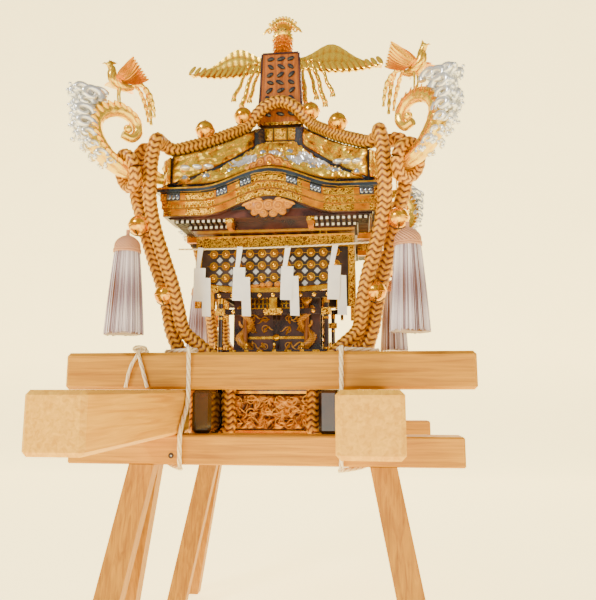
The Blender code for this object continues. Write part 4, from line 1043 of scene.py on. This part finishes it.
def lashing_route(hand):
    """One turn of rope round the cross pole and the trestle beam, front left (-1) or right (1)."""
    clear = 0.008
    near_x, far_x, low_x = -0.214, -0.312, -0.2728
    pole_top, pole_front, pole_back = 0.925, -0.382, -0.277
    beam_front, beam_back, beam_bottom = -0.442, -0.352, 0.622
    route = [(near_x + 0.010, -0.345, pole_top + clear),
             (near_x, pole_front + 0.002, pole_top + clear), (near_x, pole_front - clear, pole_top - 0.002),
             (near_x, pole_front - clear, 0.790), (near_x, beam_front - clear, 0.710),
             (near_x, beam_front - clear, beam_bottom + 0.002),
             (near_x, beam_front - 0.002, beam_bottom - clear),
             (low_x, beam_back + 0.002, beam_bottom - clear),
             (low_x, beam_back + clear, beam_bottom + 0.002), (low_x, beam_back + 0.010, 0.672),
             (low_x, -0.322, 0.70), (far_x, -0.322, 0.785), (far_x, pole_back + clear, 0.812),
             (far_x, pole_back + clear, pole_top - 0.002), (far_x, pole_back - 0.002, pole_top + clear),
             (near_x - 0.010, -0.352, pole_top + clear)]
    return [(x * -hand, y, z) for x, y, z in route]


def lashings():
    """The four lashings, and the two hanging ends with their knot at the front left one."""
    for name, hand, turn in (("front_left", -1, 0), ("front_right", 1, 0), ("rear_left", 1, 2),
                             ("rear_right", -1, 2)):
        pile = Pile()
        twisted_rope(pile, lashing_route(hand), 0.0062)
        if name == "front_left":
            knot_x, front, top = -0.362, -0.3890, 0.9310
            for foot_x in (-0.395, -0.332):
                twisted_rope(pile, [(foot_x, front, 0.826), (foot_x * 0.55 - 0.165, front - 0.003, 0.880),
                                    (knot_x, front + 0.002, top - 0.008),
                                    (knot_x, front + 0.016, top + 0.003)], 0.0052)
            for k in range(3):
                twisted_rope(pile, [(knot_x + 0.018 * math.cos(a + k), front + 0.012 + 0.008 * k,
                                     top + 0.004 + 0.007 * math.sin(a))
                                    for a in around(11)], 0.0045)
        pile.on_sides((turn,)).piece(f"lashing_rope_{name}", "straw_rope", [STRAW], 60, [f"lashing_{name}"])


def paper_streamers():
    """Straw rope across the front with four folded paper streamers."""
    pile = Pile()
    y = -0.2415
    xs = np.linspace(-0.299, 0.299, 9)
    rope_z = 1.262 + 0.004 * (xs / 0.3) - 0.005 * (1 - (xs / 0.3) ** 2)
    twisted_rope(pile, np.stack([xs, np.full(9, y), rope_z], -1), 0.0027, 1, 2, 0.014, 0.002)
    folds = ((0.0, 0.018, -0.009, 1.262, 1.190), (-0.012, 0.026, -0.003, 1.197, 1.092),
             (0.014, 0.041, 0.002, 1.166, 1.044))
    draw = random.Random(6)
    for start in (-0.236, -0.111, 0.040, 0.186):
        swing = draw.uniform(-0.003, 0.003)
        for index, (left, right, lean, top, foot) in enumerate(folds):
            rows = []
            face = y - 0.0012 * (index % 2) - 0.0004 * index
            for share in np.linspace(0, 1, 8):
                near = face + 0.0022 * math.sin(share * 3.2 + index * 2 + start * 9)
                x0 = start + left + (lean + swing) * share
                x1 = start + right + (lean * 1.6 + swing) * share
                z = top + (foot - top) * share
                rows.append([(x0, near, z), (x1, near - 0.0016, z - 0.002), (x1, near - 0.0010, z - 0.002),
                             (x0, near + 0.0006, z)])
            pile.grid(rows, 0, True, True)
    pile.piece("folded_paper_and_rope", "paper", [PAPER, STRAW], 30, ["paper_streamers"])


# Scrolls and birds

def corner_scrolls():
    """Gold scroll at each roof corner, silver wave crests foaming along its back."""
    arm = [(0.331, 1.4580), (0.375, 1.455), (0.425, 1.464), (0.462, 1.495), (0.482, 1.540),
           (0.484, 1.585), (0.464, 1.622), (0.430, 1.638), (0.399, 1.622), (0.390, 1.588),
           (0.403, 1.562), (0.424, 1.566)]
    pile = Pile()
    path = smooth_path([corner(a, 0.0, z) for a, z in arm], 0.004)
    count = len(path)
    size = np.interp(np.linspace(0, 1, count), [0, 0.12, 0.38, 0.55, 0.75, 1.0],
                     [0.017, 0.0215, 0.0290, 0.025, 0.0190, 0.0115])
    angle = around(30)
    flute = np.abs(np.cos(angle * 3.5 + 0.4))[None] ** 0.6
    beads = 0.5 + 0.5 * np.cos(np.arange(count) * 0.9)[:, None]
    lift = 0.35 + 0.45 * flute + 0.2 * beads
    pile.sweep(path, size[:, None] * (0.88 + 0.16 * lift), angle, 0, lift)
    pile.ball(corner(0.412, 0.0, 1.588), 0.0135, 0, 8, 12, 1.0)
    for index in range(4, count - 16, 5):
        x, y, z = path[index]
        a = -(x + y) / 2
        for q in HANDS:
            blade(pile, corner(a - 0.004, q * size[index] * 0.8, z),
                  corner(a + 0.012, q * (size[index] + 0.007), z + 0.014), 0.014)
    draw = random.Random(4)
    crest = ((0.452, 1.462, 0.014), (0.474, 1.478, 0.016), (0.490, 1.500, 0.018), (0.502, 1.528, 0.021),
             (0.508, 1.558, 0.023), (0.511, 1.590, 0.024), (0.508, 1.620, 0.025), (0.498, 1.645, 0.025),
             (0.480, 1.660, 0.021), (0.520, 1.652, 0.021))
    t = np.linspace(0, 1, 16)
    for a, z, curl in crest:
        for q in (-0.020, -0.007, 0.007, 0.020):
            turn = draw.uniform(1.5, 2.3) * math.pi
            swirl = draw.uniform(-0.6, 0.4) + turn * t
            bulk = curl * draw.uniform(0.62, 1.0)
            route = [corner(a - c * math.cos(w), q * (1 + 0.5 * k), z + 0.004 + c * math.sin(w))
                     for w, c, k in zip(swirl, bulk * (1 - 0.78 * t), t)]
            pile.tube(route, bulk * (0.56 - 0.36 * t), 1, 9, 0.40 + 0.60 * t)
            for _ in range(2):
                centre = corner(a + draw.uniform(0.3, 0.95) * curl, q + draw.uniform(-0.006, 0.006),
                                z + draw.uniform(-0.6, 0.9) * curl)
                pile.ball(centre, draw.uniform(0.0045, 0.0080), 1, 6, 8, draw.uniform(0.6, 1.0))
    pile.on_sides().piece("corner_scrolls", "gilt", [GOLD_RELIEF, SILVER], 60,
                          [f"corner_scroll_{name}" for name in CORNERS])


def bird(pile, scale):
    """Long-tailed bird facing +X in its own frame, standing on its feet at the origin."""
    def at(*place):
        return np.array(place) * scale

    body = smooth_path([(-0.036, 0, 0.060), (-0.015, 0, 0.054), (0.010, 0, 0.058), (0.022, 0, 0.074),
                        (0.024, 0, 0.092), (0.032, 0, 0.102)], 0.003)
    share = np.linspace(0, 1, len(body))
    size = 0.0140 * (0.28 + 0.76 * np.sin(math.pi * np.clip(share * 0.78 + 0.10, 0, 1)) ** 1.2)
    angle = around(18)
    row = np.arange(len(body))[:, None]
    scales = 0.5 + 0.5 * np.cos(angle[None] * 9 + math.pi * (row // 2 % 2))
    pile.sweep(body * scale, size[:, None] * scale * (0.94 + 0.10 * scales), angle, 0, 0.3 + 0.7 * scales)
    head = at(0.033, 0, 0.103)
    pile.ball(head, 0.0074 * scale, 0, 8, 12, 0.8)
    pile.tube([head + at(0.004, 0, 0), head + at(0.012, 0, 0), head + at(0.018, 0, -0.004)],
              at(0.0034, 0.0022, 0.0005), 0, 6, 1.0)
    for k in range(5):
        blade(pile, head, head + at(-0.004 - 0.004 * k, 0.0025 * (k - 2), 0.017 - 0.002 * k), 0.005 * scale,
              thickness=0.0006)
    for hand in HANDS:
        for layer, reach in enumerate((1.0, 0.55)):
            for fan in np.linspace(0, 1, 9):
                root = at(0.010 - 0.024 * fan, hand * 0.007, 0.067 + 0.003 * layer)
                run = at(-0.004 - 0.040 * fan, hand * (0.088 - 0.046 * fan), 0.016 - 0.020 * fan) * reach
                blade(pile, root, root + run, 0.017 * scale, -0.008 * scale, thickness=0.0011 * scale)
        y = hand * 0.006
        pile.tube([at(0.002, y, 0.054), at(0.003, hand * 0.007, 0.026), at(0.0, y, 0.0)],
                  at(0.0044, 0.0028, 0.0024), 0, 6, 0.8)
        for toe in (-0.004, 0.004):
            pile.tube([at(0.0, y, 0.003), at(0.012, y + toe, 0.0)], 0.0020 * scale, 0, 6, 0.8)
    for y, lift, length in ((-0.020, 0.0, 1.0), (0.0, 0.012, 1.25), (0.020, 0.0, 1.0)):
        route = smooth_path([at(-0.030, y * 0.2, 0.062), at(-0.055, y * 0.6, 0.068 + lift),
                             at(-0.076, y, 0.045 + lift), at(-0.088, y, 0.010),
                             at(-0.092, y, 0.045 - 0.060 * length)], 0.003)
        t = np.linspace(0, 1, len(route))
        pile.tube(route, 0.0060 * scale * (0.55 + 0.45 * np.sin(math.pi * t) + 0.18 * np.sin(t * 40)), 0, 7,
                  0.5 + 0.5 * np.sin(t * 40) ** 2)


def small_birds():
    one = Pile()
    bird(one, 1.12)
    placed = Pile()
    stand = Matrix.Translation(corner(0.433, 0.0, 1.6555))
    placed.add(one, stand @ Matrix.Rotation(math.radians(225), 4, "Z"))
    placed.on_sides().piece("small_birds", "gilt", [GOLD_RELIEF], 50,
                            [f"small_bird_{name}" for name in CORNERS])


def phoenix_body(pile, y):
    """Scaled body, ruff of small feathers, head with its beak, curls and fanned crest."""
    body = smooth_path([(0, y + 0.050, 1.90), (0, y + 0.030, 1.93), (0, y, 1.96), (0, y - 0.015, 1.995),
                        (0, y - 0.020, 2.03), (0, y - 0.025, 2.07), (0, y - 0.030, 2.105)], 0.004)
    size = 0.038 * np.interp(np.linspace(0, 1, len(body)), [0, 0.2, 0.42, 0.6, 0.78, 1.0],
                             [0.45, 0.85, 1.0, 0.92, 0.70, 0.62])
    angle = around(28)
    row = np.arange(len(body))[:, None]
    scale = np.cos(angle[None] * 14 + math.pi * (row // 3 % 2)) * np.sin(math.pi * (row % 3 + 1) / 4)
    scale = 0.5 + 0.5 * scale
    pile.sweep(body, size[:, None] * (0.95 + 0.06 * scale), angle, 0, 0.25 + 0.75 * scale)
    head = np.array([0, y - 0.038, 2.112])
    pile.ball(head, (0.021, 0.024, 0.021), 0, 10, 16, 0.8)
    pile.tube([head + [0, -0.016, 0.0], head + [0, -0.032, -0.003], head + [0, -0.040, -0.016]],
              [0.0080, 0.0055, 0.0012], 0, 8, 1.0)
    for tier in range(5):
        for k in range(14):
            turn = 2 * math.pi * (k + 0.5 * (tier % 2)) / 14
            out = np.array([math.cos(turn), math.sin(turn), 0])
            root = np.array([0, y - 0.028, 2.108 - 0.016 * tier]) + out * 0.021
            blade(pile, root, root + out * 0.017 + [0, 0, -0.024], 0.012, side=np.cross(out, [0, 0, 1]))
    for side in HANDS:
        pile.ball(head + [side * 0.013, -0.016, 0.006], 0.0036, 1, 6, 8, 0.1)
        for k in range(3):
            blade(pile, head + [side * 0.012, -0.004, -0.004 * k],
                  head + [side * (0.034 + 0.003 * k), 0.004, 0.012 - 0.018 * k], 0.015)
        for k in range(4):
            scroll(pile, side * (0.014 + 0.012 * k), y - 0.034 - 0.003 * (k % 2), 2.160 - 0.012 * k, 0.0130,
                   side, 0, 1.3, 0.30, 0.8)
    for fan in np.linspace(-1, 1, 9):
        tip = np.array([0.050 * fan, y - 0.030, 2.186 - 0.024 * fan * fan])
        blade(pile, (0.012 * fan, y - 0.030, 2.120), tip, 0.019, side=(1, 0, 0))
        pile.ball(tip + [-0.002 * fan, -0.002, -0.006], 0.0062, 0, 6, 8, 1.0)
        tip = np.array([0.038 * fan, y - 0.038, 2.164 - 0.020 * fan * fan])
        blade(pile, (0.010 * fan, y - 0.038, 2.122), tip, 0.014, side=(1, 0, 0))
        pile.ball(tip + [0, -0.003, -0.004], 0.0050, 0, 6, 8, 1.0)


def phoenix_wing(pile, y, hand):
    """One wing: a shell of lapped feather rows, and the free feather tips along its lower edge."""
    columns, rows = 96, 16
    shoulder, reach = 2.034, 0.3625

    def lower_edge(part, depth):
        return shoulder - depth * (1 + 0.35 * math.sin(math.pi * part)) * (1 - part ** 5) - 0.022 * part ** 4

    shell, heights = [], []
    for part in np.linspace(0, 1, columns):
        upper = shoulder + 0.062 * math.exp(-((part - 0.48) / 0.22) ** 2) - 0.022 * part ** 4
        lower = lower_edge(part, 0.044) + 0.007 * abs(math.sin(part * math.pi * 15)) - 0.003
        lower = min(lower, upper - 0.004)
        front, back, relief = [], [], []
        for v in np.linspace(0, 1, rows):
            vane = abs(math.sin((part * 15 + v * 1.2) * math.pi))
            height = (1 - (v * 3.2) % 1.0) * 0.55 + 0.45 * vane
            thick = 0.010 * (1 - v) ** 2 + 0.0025 + 0.0038 * height
            middle_y = y + 0.008 + 0.035 * part + 0.010 * (1 - v) - 0.014 * v
            x = hand * min(0.010 + 0.350 * part + (0.006 + 0.026 * part) * v, reach)
            z = upper + (lower - upper) * v
            front.append((x, middle_y - thick, z))
            back.append((x, middle_y + thick * 0.7, z))
            relief.append(0.25 + 0.75 * height)
        shell.append(front + back[::-1])
        heights.append(relief + relief[::-1])
    pile.grid(shell, 0, True, True, heights)
    for k in range(15):
        part = 0.10 + 0.86 * k / 14
        x, z = 0.014 + 0.345 * part, lower_edge(part, 0.036)
        blade(pile, (hand * x, y + 0.032 * part - 0.006, z + 0.030),
              (hand * min(x + 0.018, reach), y + 0.032 * part - 0.014, z - 0.008), 0.020, side=(1, 0, 0.1))


def phoenix():
    """Large bird over the roof: body and head, wings, legs, forked plumes and tail feathers."""
    y = 0.012
    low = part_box("phoenix")[0]
    pile = Pile()
    phoenix_body(pile, y)
    plumes = ((0.064, 0.084, 1.850, 0.0090), (0.088, 0.122, 1.872, 0.0075), (0.104, 0.152, 1.846, 0.0095),
              (0.132, 0.180, 1.880, 0.0075), (0.052, 0.064, 1.890, 0.0070))
    for hand in HANDS:
        phoenix_wing(pile, y, hand)
        leg_x, leg_y = hand * 0.026, y - 0.005
        pile.tube([(hand * 0.022, y, 1.95), (leg_x, leg_y, 1.85), (leg_x, leg_y, low.z)],
                  [0.014, 0.0085, 0.008], 0, 12, 0.6)
        for toe in (-0.010, 0.0, 0.010):
            pile.tube([(leg_x, leg_y, low.z + 0.008), (leg_x + toe, y - 0.022, low.z + 0.003)],
                      [0.006, 0.003], 0, 6, 0.8)
        for index, (start, end, foot, width) in enumerate(plumes):
            plume = smooth_path([(hand * start, y + 0.004, 2.026),
                                 (hand * (start * 0.6 + end * 0.4), y - 0.004, 1.96),
                                 (hand * end, y - 0.016 - 0.006 * (index % 2), foot)], 0.003)
            t = np.linspace(0, 1, len(plume))
            wave = np.abs(np.sin(t * 22 + index))
            plume[:, 0] += hand * 0.0020 * np.sin(t * 12 + index)
            pile.tube(plume, width * (0.60 + 0.25 * wave + 0.35 * t), 0, 9, 0.30 + 0.70 * wave)
            for fork in (-0.008, 0, 0.008):
                blade(pile, plume[-1] + [0, 0, 0.008], plume[-1] + [fork, -0.002, -0.018], 0.010,
                      side=(1, 0, 0))
    for fan in np.linspace(-1, 1, 7):
        blade(pile, (0.014 * fan, y + 0.030, 1.925),
              (0.060 * fan, y + 0.058, 1.995 - 0.03 * abs(fan)), 0.020, side=(1, 0, 0))
    pile.piece("phoenix_feathers", "gilt", [GOLD_RELIEF, DARK], 50, ["phoenix"])


# Stage

def area_light(name, place, target, size, power, colour):
    data = bpy.data.lights.new(name, "AREA")
    data.shape = "RECTANGLE"
    data.size, data.size_y = size, size * 0.7
    data.energy = power
    data.color = colour
    lamp = bpy.data.objects.new(name, data)
    bpy.context.scene.collection.objects.link(lamp)
    lamp.location = place
    lamp.rotation_euler = (Vector(target) - Vector(place)).to_track_quat("-Z", "Y").to_euler()


def stage():
    """Pale floor that curves up behind the shrine, four soft lights and a dim pale sky."""
    mesh = bpy.data.meshes.new("floor")
    reach, back, rise, bend, wide = 9.0, 5.0, 7.0, 1.2, 14.0
    rows = [(-reach, 0.0), (back - bend, 0.0)]
    rows += [(back - bend + bend * math.sin(a), bend - bend * math.cos(a))
             for a in np.linspace(0.1, math.pi / 2, 12)]
    rows.append((back, rise))
    verts = [(x, y, z - 0.0005) for y, z in rows for x in (-wide, wide)]
    faces = [(2 * k, 2 * k + 1, 2 * k + 3, 2 * k + 2) for k in range(len(rows) - 1)]
    mesh.from_pydata(verts, [], faces)
    mesh.shade_smooth()
    floor = bpy.data.objects.new("floor", mesh)
    bpy.context.scene.collection.objects.link(floor)
    pale = finish("pale_floor", (0.90, 0.80, 0.58), (0.94, 0.85, 0.63), 0.7, 0.0, 3.0, bump=0.02)
    shader = pale.node_tree.nodes["Principled BSDF"]
    shader.inputs["Emission Color"].default_value = (1.0, 0.80, 0.33, 1.0)
    shader.inputs["Emission Strength"].default_value = 3.0
    mesh.materials.append(pale)
    world = bpy.data.worlds.new("studio")
    world.use_nodes = True
    shade = world.node_tree.nodes["Background"]
    shade.inputs["Color"].default_value = (1.0, 0.96, 0.88, 1.0)
    shade.inputs["Strength"].default_value = 0.34
    bpy.context.scene.world = world
    middle = (0.0, 0.0, 1.25)
    area_light("key", (-2.3, -3.2, 3.6), middle, 0.9, 142, (1.0, 0.97, 0.90))
    area_light("fill", (3.2, -3.0, 1.8), middle, 2.4, 34, (1.0, 0.96, 0.90))
    area_light("low", (0.3, -3.6, 0.35), (0.0, 0.0, 1.3), 2.0, 26, (1.0, 0.92, 0.80))
    area_light("back", (1.0, 3.0, 3.4), middle, 2.0, 48, (1.0, 0.97, 0.93))


def camera():
    data = bpy.data.cameras.new("camera")
    data.lens = 36.0
    data.sensor_width = 36.0
    data.sensor_fit = "AUTO"
    eye = bpy.data.objects.new("camera", data)
    bpy.context.scene.collection.objects.link(eye)
    eye.location = (0.269, -2.043, 0.82)
    azimuth, pitch = math.radians(6.0), math.radians(8.5)
    look = Vector((-math.sin(azimuth) * math.cos(pitch), math.cos(azimuth) * math.cos(pitch),
                   math.sin(pitch)))
    eye.rotation_euler = look.to_track_quat("-Z", "Y").to_euler()
    bpy.context.scene.camera = eye


camera()
stage()
timbers()
base_dress()
fence_dress()
torii_dress()
chamber_dress()
dragons()
rafters()
gable_boards()
rim_and_crest()
pendants()
roof_relief()
basin_dress()
name_board()
nets()
cords()
tassels()
lashings()
paper_streamers()
corner_scrolls()
small_birds()
phoenix()
